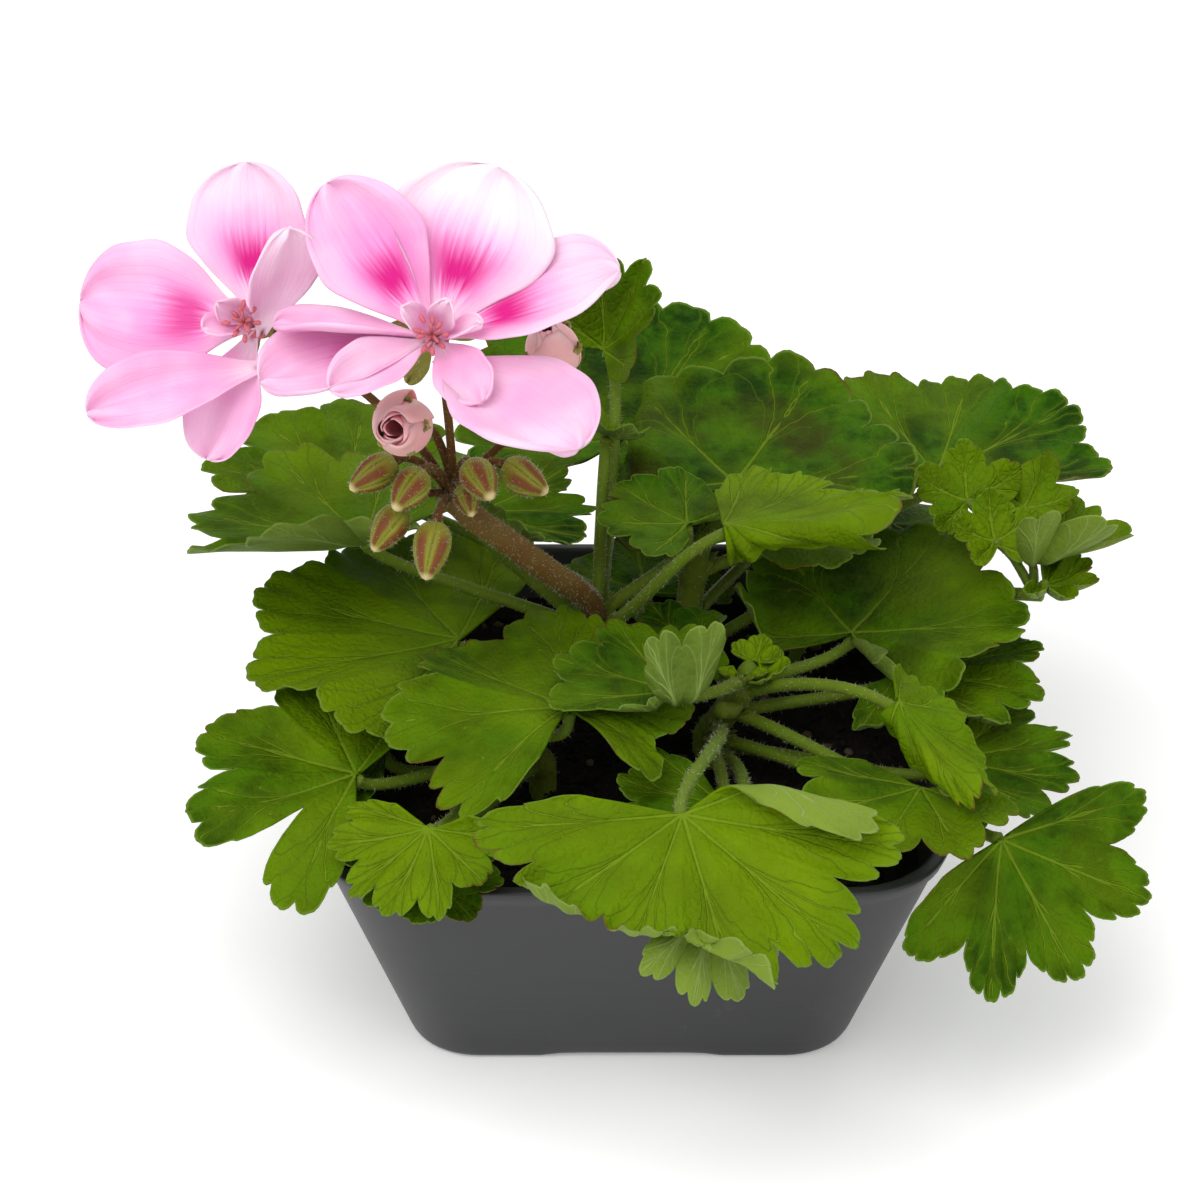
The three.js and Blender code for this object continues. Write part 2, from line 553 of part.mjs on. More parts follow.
const florets = [
  {
    name: 'floret_right_petals', at: [-33, -22, 139], heading: -92, pitch: 35,
    petals: [
      { turn: 126, length: 30, width: 19, lift: 12 },
      { turn: 70, length: 29, width: 27, lift: 8 },
      { turn: 19, length: 33, width: 20, lift: 18, twist: -38 },
      { turn: 197, length: 29, width: 19, lift: 15, twist: 45 },
      { turn: -33, length: 33, width: 24, lift: 30, twist: -38, shift: [0, -3] },
      { turn: 212, length: 22, width: 10, lift: 36, twist: 20 },
      { turn: -52, length: 17, width: 10, lift: 38 },
      { turn: 178, length: 26, width: 12, lift: 18, twist: 72 },
      { turn: 140, length: 10, width: 5, lift: 55, twist: 30 },
      { turn: 60, length: 11, width: 5, lift: 60 },
      { turn: 10, length: 12, width: 5, lift: 50, twist: -40 },
    ],
  },
  {
    name: 'floret_left_petals', at: [-63, -14, 137], heading: -108, pitch: 32,
    petals: [
      { turn: 100, length: 26, width: 21, lift: 10 },
      { turn: 182, length: 29, width: 24, lift: 12 },
      { turn: 70, length: 23, width: 14, lift: 34, twist: 66, shift: [0.8, -2.5] },
      { turn: 206, length: 31, width: 13, lift: 22, twist: 18, shift: [4, -6] },
      { turn: 258, length: 23, width: 13, lift: 0 },
      { turn: 200, length: 10, width: 6, lift: 55, twist: 40 },
      { turn: 150, length: 9, width: 5, lift: 60 },
    ],
  },
];

// Level side, raised side and axis of a floret
const floretFrame = ({ heading, pitch }) => {
  const [h, p] = [degrees(heading), degrees(pitch)];
  const axis = new THREE.Vector3(Math.cos(h) * Math.cos(p), Math.sin(h) * Math.cos(p), Math.sin(p));
  const level = new THREE.Vector3(0, 0, 1).cross(axis).normalize();
  return { level, raised: axis.clone().cross(level), axis };
};

// Half the petal's width as a share of its greatest half width: a narrow claw, then a round end
const petalSpread = (share) => {
  const widest = 0.62;
  if (share < widest) return 0.14 + 0.86 * Math.sin((Math.PI / 2) * (share / widest)) ** 1.5;
  return Math.sqrt(Math.max(0, 1 - ((share - widest) / (1 - widest)) ** 2));
};

const petalPoint = (lengthwise, across, petal) => {
  const spread = petalSpread(lengthwise);
  const ripple = petal.ruffle * Math.sin(6 * across + petal.phase) * lengthwise ** 2;
  const rise = petal.hollow * across ** 2 * spread - petal.sag * lengthwise ** 2 + ripple;
  const aside = 0.5 * petal.width * spread * across;
  return new THREE.Vector3(petal.length * lengthwise, aside, petal.length * rise);
};

// Unit vectors along a petal, across it and up from its face, and the point where its claw starts
const petalFrame = (petal, floret) => {
  const { level, raised, axis } = floretFrame(floret);
  const [turn, lift, twist] = [petal.turn, petal.lift, petal.twist].map(degrees);
  const outward = level.clone().multiplyScalar(Math.cos(turn)).addScaledVector(raised, Math.sin(turn));
  const spine = outward.clone().multiplyScalar(Math.cos(lift)).addScaledVector(axis, Math.sin(lift));
  const beside = axis.clone().cross(outward);
  const face = spine.clone().cross(beside);
  const width = beside.clone().multiplyScalar(Math.cos(twist)).addScaledVector(face, Math.sin(twist));
  const normal = face.clone().multiplyScalar(Math.cos(twist)).addScaledVector(beside, -Math.sin(twist));
  const base = vector(floret.at).addScaledVector(spine, clawStart);
  base.addScaledVector(level, petal.shift[0]).addScaledVector(raised, petal.shift[1]);
  return { axes: [spine, width, normal], base };
};

// Shares of a petal's length and of its half width where its points lie
const largePetal = { rows: [0, 0.22, 0.45, 0.65, 0.82, 0.94], columns: [-1, -0.35, 0.35, 1] };
const smallPetal = { rows: [0, 0.4, 0.75], columns: [-1, 0, 1] };
const smallPetalLength = 15;

// Triangles of a grid of rows and columns that ends in one tip
const petalFaces = (rowCount, columnCount) => {
  const faces = [];
  const tip = rowCount * columnCount;
  for (let i = 0; i < rowCount - 1; i += 1) {
    for (let j = 0; j < columnCount - 1; j += 1) {
      const a = i * columnCount + j;
      faces.push([a, a + columnCount, a + 1], [a + 1, a + columnCount, a + columnCount + 1]);
    }
  }
  for (let j = tip - columnCount; j < tip - 1; j += 1) faces.push([j, tip, j + 1]);
  return faces;
};

// The points round that grid in order: up one side, over the tip, down the other and along the foot
const petalOutline = (rowCount, columnCount) => {
  const right = Array.from({ length: rowCount }, (_, i) => i * columnCount);
  const left = right.map((i) => i + columnCount - 1);
  const foot = Array.from({ length: columnCount - 2 }, (_, j) => j + 1);
  return [rowCount * columnCount, ...left.reverse(), ...foot.reverse(), ...right];
};

const makePetal = (entry, floret) => {
  const petal = { ...petalDefaults, ...entry };
  const { axes, base } = petalFrame(petal, floret);
  const { rows, columns } = petal.length > smallPetalLength ? largePetal : smallPetal;
  const place = along(axes);
  const middle = [];
  const normals = [];
  const addPoint = (lengthwise, across) => {
    const inside = Math.min(lengthwise, rows.at(-1));
    const forward = petalPoint(inside + slopeStep, across, petal).sub(petalPoint(inside, across, petal));
    const ahead = petalPoint(inside, across + slopeStep, petal);
    const sideways = ahead.sub(petalPoint(inside, across - slopeStep, petal));
    middle.push(place(petalPoint(lengthwise, across, petal)).add(base));
    normals.push(place(forward.cross(sideways).normalize()));
  };
  for (const lengthwise of rows) columns.forEach((across) => addPoint(lengthwise, across));
  addPoint(1, 0);
  const faces = petalFaces(rows.length, columns.length);
  const outline = petalOutline(rows.length, columns.length);
  return sheetSolid(middle, normals, faces, outline, petalThickness);
};

const makeFloret = (floret) => {
  const { axis } = floretFrame(floret);
  const profile = [[0, -1.6], [1.8, -1.2], [2.6, 0], [1.6, 1], [0, 1]];
  const centre = turned(profile, 8, vector(floret.at), axis);
  const petals = floret.petals.map((petal) => makePetal(petal, floret));
  return meshOf(floret.name, joined([centre, ...petals]), finish('petal', 0.55));
};

// The flower stalk carries an umbel: open florets stand up on long stalks and closed buds hang round them

const flowerHub = [-31, -5, 97];
const flowerStalkPath = [[-6, 9, 61], [-8, 3, 71], [-14, -3, 80], [-22, -6, 89], [-28, -6, 94], flowerHub];
const flowerStalkRadius = 2.3;
const bloomStalkRadius = 0.8;
const bloomStalkRise = { closedBud: 4, openingBud: 8, floret: 12 };
const hubSpread = 0.04;
const hubDrop = 1.6;
const calyxDrop = 3.6;

const closedBuds = [
  { at: [-44.5, -14, 107.5], radius: 3.1, half: 4.7 },
  { at: [-38.3, -18, 106.8], radius: 3.2, half: 4.6 },
  { at: [-26, -16, 107.5], radius: 3.2, half: 4.6 },
  { at: [-18.5, -12, 105.5], radius: 3.2, half: 4.6 },
  { at: [-42, -18, 99], radius: 3.1, half: 4.5 },
  { at: [-34.5, -22.5, 97.5], radius: 3.4, half: 5.2 },
  { at: [-28.5, -13, 101.5], radius: 2.2, half: 3.2 },
];

const openingBuds = [
  { at: [-38.7, -16, 118.6], axis: [-0.3, -0.85, 0.4], radius: 6.4, half: 6.2 },
  { at: [-13.4, -12, 131.2], axis: [-0.2, -0.4, 0.9], radius: 5.9, half: 7 },
];

// A closed bud hangs away from the hub
const budAxis = (bud) => {
  const away = vector(bud.at).sub(vector(flowerHub)).normalize();
  return away.add(new THREE.Vector3(0, 0, -0.8)).normalize();
};

const makeClosedBuds = () => {
  const shape = [[0, -1], [0.45, -0.95], [0.95, -0.4], [1, 0.1], [0.75, 0.55], [0.3, 0.9], [0, 1.05]];
  return closedBuds.map((bud, i) => {
    const profile = shape.map(([r, h]) => [r * bud.radius, h * bud.half]);
    const solid = turned(profile, 6, vector(bud.at), budAxis(bud));
    return meshOf(`closed_bud_${i + 1}`, solid, finish('bud', 0.6));
  });
};

const makeOpeningBuds = () => {
  const outside = [[0, -1], [0.4, -0.95], [0.85, -0.45], [1, 0.2], [0.85, 0.8], [0.55, 1]];
  const shape = [...outside, [0.5, 0.7], [0.3, 0.75], [0, 0.95]];
  return openingBuds.map((bud, i) => {
    const profile = shape.map(([r, h]) => [r * bud.radius, h * bud.half]);
    const solid = turned(profile, 7, vector(bud.at), vector(bud.axis));
    return meshOf(`opening_bud_${i + 1}`, solid, finish('openBud', 0.55));
  });
};

// A stalk from the hub that rises first and meets a bloom along its axis
const bloomStalk = (end, axis, rise) => {
  const start = vector(flowerHub).lerp(end, hubSpread).add(new THREE.Vector3(0, 0, -hubDrop));
  const first = start.clone().add(new THREE.Vector3(0, 0, rise));
  const approach = end.clone().addScaledVector(axis, -rise);
  return tube(new THREE.CubicBezierCurve3(start, first, approach, end), bloomStalkRadius, 4, 5);
};

const sepal = { length: 8, width: 3.4, lift: -22, hollow: 0 };
const sepalTurns = [20, 92, 164, 236, 308];

// A green cup with five narrow sepals behind a floret
const makeCalyx = (floret) => {
  const { axis } = floretFrame(floret);
  const base = vector(floret.at).addScaledVector(axis, -calyxDrop);
  const cup = turned([[0, -1.2], [1, -1], [2.2, 1], [0, 1.2]], 6, base, axis);
  const behind = { ...floret, at: base.toArray() };
  const sepals = sepalTurns.map((turn) => makePetal({ ...sepal, turn }, behind));
  return joined([cup, ...sepals]);
};

const makeFlowerStalk = () => {
  const solids = [tube(curveOf(flowerStalkPath), flowerStalkRadius, 8, 8)];
  for (const bud of closedBuds) {
    const axis = budAxis(bud);
    const end = vector(bud.at).addScaledVector(axis, -bud.half - seatGap);
    solids.push(bloomStalk(end, axis, bloomStalkRise.closedBud));
  }
  for (const bud of openingBuds) {
    const axis = vector(bud.axis).normalize();
    const end = vector(bud.at).addScaledVector(axis, -bud.half - seatGap);
    solids.push(bloomStalk(end, axis, bloomStalkRise.openingBud));
  }
  for (const floret of florets) {
    const { axis } = floretFrame(floret);
    const end = vector(floret.at).addScaledVector(axis, -calyxDrop);
    solids.push(bloomStalk(end, axis, bloomStalkRise.floret), makeCalyx(floret));
  }
  const whole = joined(solids).subtract(shootSolid('main', seatGap));
  return meshOf('flower_stalk', whole, finish('flowerStalk', 0.6));
};

const plant = new THREE.Group();
plant.add(makePot(), makeSoil());
for (const name of Object.keys(shoots)) plant.add(makeShoot(name));
plant.add(makeTip(), makeYoungShoot());
for (const leaf of leaves) plant.add(meshOf(leaf.name, makeBlade(leaf), finish(leaf.tone, 0.6)));
plant.add(makeFlowerStalk(), ...florets.map(makeFloret), ...makeClosedBuds(), ...makeOpeningBuds());

export default plant;
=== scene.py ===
import math

import bpy
import numpy as np
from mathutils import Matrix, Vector


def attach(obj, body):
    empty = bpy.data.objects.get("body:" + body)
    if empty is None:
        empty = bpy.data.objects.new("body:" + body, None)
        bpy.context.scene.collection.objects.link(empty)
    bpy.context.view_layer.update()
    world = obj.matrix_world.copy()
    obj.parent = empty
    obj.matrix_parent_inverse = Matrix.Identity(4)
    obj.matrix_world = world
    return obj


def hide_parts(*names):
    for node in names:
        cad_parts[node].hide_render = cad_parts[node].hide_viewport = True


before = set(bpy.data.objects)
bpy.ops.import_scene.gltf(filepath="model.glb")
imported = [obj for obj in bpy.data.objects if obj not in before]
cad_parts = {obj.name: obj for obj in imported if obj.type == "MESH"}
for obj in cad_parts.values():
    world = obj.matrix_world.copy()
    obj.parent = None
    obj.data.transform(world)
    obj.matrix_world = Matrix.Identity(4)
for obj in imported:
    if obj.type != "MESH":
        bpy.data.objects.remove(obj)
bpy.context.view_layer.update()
chance = np.random.default_rng(7)
print("frame loaded,", len(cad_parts), "nodes")


# helpers for shapes

def unit(v):
    # each vector over its length
    return v / np.maximum(np.linalg.norm(v, axis=-1, keepdims=True), 1e-9)


def vec(values):
    return np.array(values, float)


def turns(degrees):
    return np.radians(degrees)


def ringOf(angle, side, other):
    # directions at the given angles from side towards other
    return np.cos(angle)[..., None] * side + np.sin(angle)[..., None] * other


def mapOf(across, along, sides=2):
    # texture places of a grid's points, once for each side of the sheet
    flat = [part.ravel() for part in np.broadcast_arrays(across, along)]
    return np.concatenate([np.stack(flat, 1)] * sides)


def fadeIn(x, low, high):
    # 0 below low, 1 above high, a smooth S between
    t = np.clip((x - low) / (high - low), 0, 1)
    return t * t * (3 - 2 * t)


def gridFaces(rows, cols):
    # two triangles in each cell of a grid of points counted row by row
    a = (np.arange(rows - 1)[:, None] * cols + np.arange(cols - 1)).ravel()
    return np.concatenate([np.stack([a, a + cols, a + 1], 1), np.stack([a + 1, a + cols, a + cols + 1], 1)])


def gridNormals(grid):
    # the cross product of the steps along the rows and along the columns
    return unit(np.cross(np.gradient(grid, axis=0), np.gradient(grid, axis=1)))


def shell(grid, upward, downward, normals=None):
    # a sheet: the grid moved up and down along its normals, and a band round the edge that joins both;
    # with it the side of each face, 0 above and 1 below
    rows, cols = grid.shape[:2]
    count = rows * cols
    normals = gridNormals(grid) if normals is None else normals
    points = np.concatenate([grid + normals * upward, grid - normals * downward]).reshape(-1, 3)
    side = gridFaces(rows, cols)
    edge = np.concatenate([np.arange(cols), np.arange(1, rows) * cols + cols - 1,
                           (rows - 1) * cols + np.arange(cols - 2, -1, -1),
                           np.arange(rows - 2, 0, -1) * cols])
    ahead = np.roll(edge, -1)
    band = np.concatenate([np.stack([edge, ahead, edge + count], 1),
                           np.stack([ahead, ahead + count, edge + count], 1)])
    faces = np.concatenate([side, side[:, ::-1] + count, band])
    skin = np.concatenate([np.zeros(len(side)), np.ones(len(side)), np.zeros(len(band))]).astype(np.int32)
    return (points, facingOut(points, faces)), skin


def merge(parts):
    # several (points, faces) as one
    points, faces, start = [], [], 0
    for some, those in parts:
        points.append(some)
        faces.append(those + start)
        start += len(some)
    return np.concatenate(points), np.concatenate(faces)


def perPoint(parts, numbers):
    # one number for each part, repeated for its points
    return np.repeat(numbers, [len(points) for points, _ in parts])


def facingOut(points, faces):
    # a closed shell with a negative volume, a sixth of the sum of a . (b x c), is inside out
    a, b, c = (points[faces[:, k]] for k in range(3))
    return faces if np.einsum("ij,ij->i", a, np.cross(b, c)).sum() > 0 else faces[:, ::-1]


def makePiece(name, shape, skins, stands=(), uv=None, values=None, faceSkin=None):
    # welds what coincides, drops empty faces, and puts the arrays into a mesh that rides on the plant
    points, faces = shape
    link = np.unique(np.round(points, 4), axis=0, return_index=True, return_inverse=True)
    first, tied = link[1], link[2].reshape(-1)[faces]
    kept = (tied[:, 0] != tied[:, 1]) & (tied[:, 1] != tied[:, 2]) & (tied[:, 2] != tied[:, 0])
    tied, corners = tied[kept], faces[kept]
    mesh = bpy.data.meshes.new(name)
    mesh.vertices.add(len(first))
    mesh.vertices.foreach_set("co", (points[first] * 0.001).astype(np.float32).ravel())
    mesh.loops.add(tied.size)
    mesh.loops.foreach_set("vertex_index", tied.astype(np.int32).ravel())
    mesh.polygons.add(len(tied))
    mesh.polygons.foreach_set("loop_start", (np.arange(len(tied)) * 3).astype(np.int32))
    mesh.polygons.foreach_set("use_smooth", np.ones(len(tied), bool))
    for skin in skins:
        mesh.materials.append(skin)
    if faceSkin is not None:
        mesh.polygons.foreach_set("material_index", faceSkin[kept].astype(np.int32))
    if uv is not None:
        layer = mesh.uv_layers.new(name="pieceMap")
        layer.data.foreach_set("uv", uv[corners].astype(np.float32).ravel())
    for key, value in (values or {}).items():
        attribute = mesh.attributes.new(key, "FLOAT", "POINT")
        attribute.data.foreach_set("value", np.broadcast_to(value, len(points))[first].astype(np.float32))
    mesh.update(calc_edges=True)
    piece = bpy.data.objects.new(name, mesh)
    bpy.context.scene.collection.objects.link(piece)
    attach(piece, "root")
    if stands:
        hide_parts(*stands)
    return piece


def smoothPath(knots, t):
    # a curve through the knots whose steps go with the square root of their distances
    knots = np.asarray(knots, float)
    first, last = 2 * knots[0] - knots[1], 2 * knots[-1] - knots[-2]
    padded = np.concatenate([[first], knots, [last]])
    place = np.clip(np.asarray(t, float), 0, 1) * (len(knots) - 1)
    i = np.minimum(place.astype(int), len(knots) - 2)
    w = (place - i)[..., None]
    p0, p1, p2, p3 = (padded[i + k] for k in range(4))
    gap = [np.sqrt(np.linalg.norm(b - a, axis=-1))[..., None] for a, b in ((p0, p1), (p1, p2), (p2, p3))]
    leave = gap[1] * ((p1 - p0) / gap[0] - (p2 - p0) / (gap[0] + gap[1]) + (p2 - p1) / gap[1])
    reachIn = gap[1] * ((p2 - p1) / gap[1] - (p3 - p1) / (gap[1] + gap[2]) + (p3 - p2) / gap[2])
    return (p1 + leave * w + (3 * (p2 - p1) - 2 * leave - reachIn) * w ** 2
            + (2 * (p1 - p2) + leave + reachIn) * w ** 3)


def arch(a, b, c, d, t):
    # cubic curve from a to d, drawn towards b and c
    t = t[:, None]
    return a * (1 - t) ** 3 + 3 * b * t * (1 - t) ** 2 + 3 * c * t ** 2 * (1 - t) + d * t ** 3


def tube(path, radius, sides=12, lumps=0.0):
    # rings of the given radius across the path, closed by poles a little beyond its ends
    path = np.asarray(path, float)
    along = unit(np.gradient(path, axis=0))
    radius = np.broadcast_to(radius, len(path)).astype(float)
    path = np.concatenate([[path[0] - along[0] * radius[0] * 0.5] * 2, path,
                           [path[-1] + along[-1] * radius[-1] * 0.5] * 2])
    path[1] += along[0] * radius[0] * 0.3
    path[-2] -= along[-1] * radius[-1] * 0.3
    radius = np.concatenate([[0, radius[0] * 0.75], radius, [radius[-1] * 0.75, 0]])
    along = np.concatenate([along[:1], along[:1], along, along[-1:], along[-1:]])
    side = unit(np.cross(along, np.eye(3)[np.argmin(np.abs(along).max(0))]))
    angle = np.linspace(0, 2 * np.pi, sides + 1)
    ring = ringOf(angle[None], side[:, None], np.cross(along, side)[:, None])
    swell = 1 + lumps * np.sin(3 * angle)[None, :] * np.sin(np.linspace(0, 9, len(path)))[:, None]
    points = path[:, None] + ring * (radius[:, None] * swell)[:, :, None]
    points[:, -1] = points[:, 0]
    faces = gridFaces(len(path), sides + 1)
    points = points.reshape(-1, 3)
    return points, facingOut(points, faces)


def hairs(roots, outward, length, width=0.032, spread=0.35):
    # a slim three-sided spike on each root, leaning a little at random
    count = len(roots)
    aim = unit(outward + chance.normal(0, spread, (count, 3)))
    side = unit(np.cross(aim, chance.normal(0, 1, (count, 3))))
    angle = vec([[0, 2.1, 4.2]])
    foot = roots[:, None] + ringOf(angle, side[:, None], np.cross(aim, side)[:, None]) * width
    tip = roots + aim * (length * chance.uniform(0.6, 1.2, count))[:, None]
    points = np.concatenate([foot, tip[:, None]], 1).reshape(-1, 3)
    shape = np.array([[0, 1, 3], [1, 2, 3], [2, 0, 3], [0, 2, 1]])
    faces = (np.arange(count)[:, None, None] * 4 + shape).reshape(-1, 3)
    return points, faces


def scatter(points, faces, count):
    # random places on a surface, by area, with the normals there
    a, b, c = (points[faces[:, k]] for k in range(3))
    across = np.cross(b - a, c - a)
    area = np.linalg.norm(across, axis=1)
    pick = chance.choice(len(faces), count, p=area / area.sum())
    u, v = chance.random((2, count))
    flip = u + v > 1
    u, v = np.where(flip, 1 - u, u)[:, None], np.where(flip, 1 - v, v)[:, None]
    return a[pick] * (1 - u - v) + b[pick] * u + c[pick] * v, unit(across[pick])


# helpers for finishes: sockets go in and out, and the nodes go into the tree of the sockets

def tint(red, green, blue):
    # a colour as seen on a screen, 0 to 255, made linear
    share = np.array([red, green, blue]) / 255
    linear = np.where(share <= 0.04045, share / 12.92, ((share + 0.055) / 1.055) ** 2.4)
    return (*linear.tolist(), 1.0)


def addNode(tree, kind, inputs, **settings):
    # a node with its settings made and each of its inputs linked or set
    node = tree.nodes.new("ShaderNode" + kind)
    for key, value in settings.items():
        setattr(node, key, value)
    for key, value in inputs.items():
        if isinstance(value, bpy.types.NodeSocket):
            tree.links.new(value, node.inputs[key])
        else:
            node.inputs[key].default_value = value
    return node


def calc(operation, *values, clamp=False):
    # one sum, product or other function of the values
    tree = next(value.id_data for value in values if isinstance(value, bpy.types.NodeSocket))
    return addNode(tree, "Math", dict(enumerate(values)), operation=operation, use_clamp=clamp).outputs[0]


def times(first, second):
    return calc("MULTIPLY", first, second)


def fade(value, low, high, start=0.0, end=1.0):
    # start where value is low, end where it is high, with a soft S between
    inputs = {"Value": value, "From Min": low, "From Max": high, "To Min": start, "To Max": end}
    return addNode(value.id_data, "MapRange", inputs, interpolation_type="SMOOTHSTEP").outputs["Result"]


def blendTints(factor, first, second):
    # from the first colour to the second; three numbers are a colour as seen on a screen
    inputs = {0: factor}
    for key, colour in ((6, first), (7, second)):
        inputs[key] = tint(*colour) if isinstance(colour, tuple) and len(colour) == 3 else colour
    return addNode(factor.id_data, "Mix", inputs, data_type="RGBA", clamp_factor=True).outputs[2]


def coat(skin, share, most, colour):
    # a colour over the skin where the share is high, at most by that much
    return blendTints(times(share, most), skin, colour)


def grain(vector, scale, detail=3.0, rough=0.55):
    # cloudy noise from 0 to 1, finer with a greater scale
    inputs = {"Vector": vector, "Scale": scale, "Detail": detail, "Roughness": rough}
    return addNode(vector.id_data, "TexNoise", inputs).outputs["Fac"]


def cellEdges(vector, scale):
    # distance to the nearest edge between random cells
    inputs = {"Vector": vector, "Scale": scale}
    return addNode(vector.id_data, "TexVoronoi", inputs, feature="DISTANCE_TO_EDGE").outputs["Distance"]


def stretched(vector, scale):
    return addNode(vector.id_data, "Mapping", {"Vector": vector, "Scale": scale}).outputs["Vector"]


def held(tree, name):
    # a number that the piece holds at its points
    return addNode(tree, "Attribute", {}, attribute_name=name).outputs["Fac"]


def objectPlace(tree):
    return addNode(tree, "TexCoord", {}).outputs["Object"]


def mapPlace(tree):
    # the texture place: across, along, and both as one
    place = addNode(tree, "UVMap", {}, uv_map="pieceMap").outputs["UV"]
    split = addNode(tree, "SeparateXYZ", {0: place})
    return split.outputs[0], split.outputs[1], place


def startFinish(name, **sockets):
    # a new material with its shader's own sockets set
    finish = bpy.data.materials.new(name)
    finish.use_nodes = True
    shader = finish.node_tree.nodes["Principled BSDF"]
    for key, value in sockets.items():
        shader.inputs[key.replace("_", " ")].default_value = value
    return finish, finish.node_tree


def finished(finish, skin, height=None, strength=0.0, distance=0.0):
    # colour and fine relief linked to the shader
    tree = finish.node_tree
    shader = tree.nodes["Principled BSDF"]
    tree.links.new(skin, shader.inputs["Base Color"])
    if height is not None:
        bump = addNode(tree, "Bump", {"Strength": strength, "Distance": distance, "Height": height})
        tree.links.new(bump.outputs["Normal"], shader.inputs["Normal"])
    return finish


def plainFinish(name, scale, first, second, detail=3.0, **sockets):
    # two colours that drift into one another
    finish, tree = startFinish(name, **sockets)
    return finished(finish, blendTints(grain(objectPlace(tree), scale, detail), first, second))


# leaf blades

leafCommon = {"lobes": 7, "teeth": 3, "lobeDepth": 0.2, "toothDepth": 0.06, "open": (14, 14), "basal": 0.25,
              "wide": 1, "cup": 0.05, "pleat": 0.03, "wave": (0.04, 5, 0), "cleft": (0, 0, 10), "folds": [],
              "under": (6, 3), "sway": (0, 0, 3), "fresh": 0.2, "bronze": 0.1, "slot": "leaf_green"}

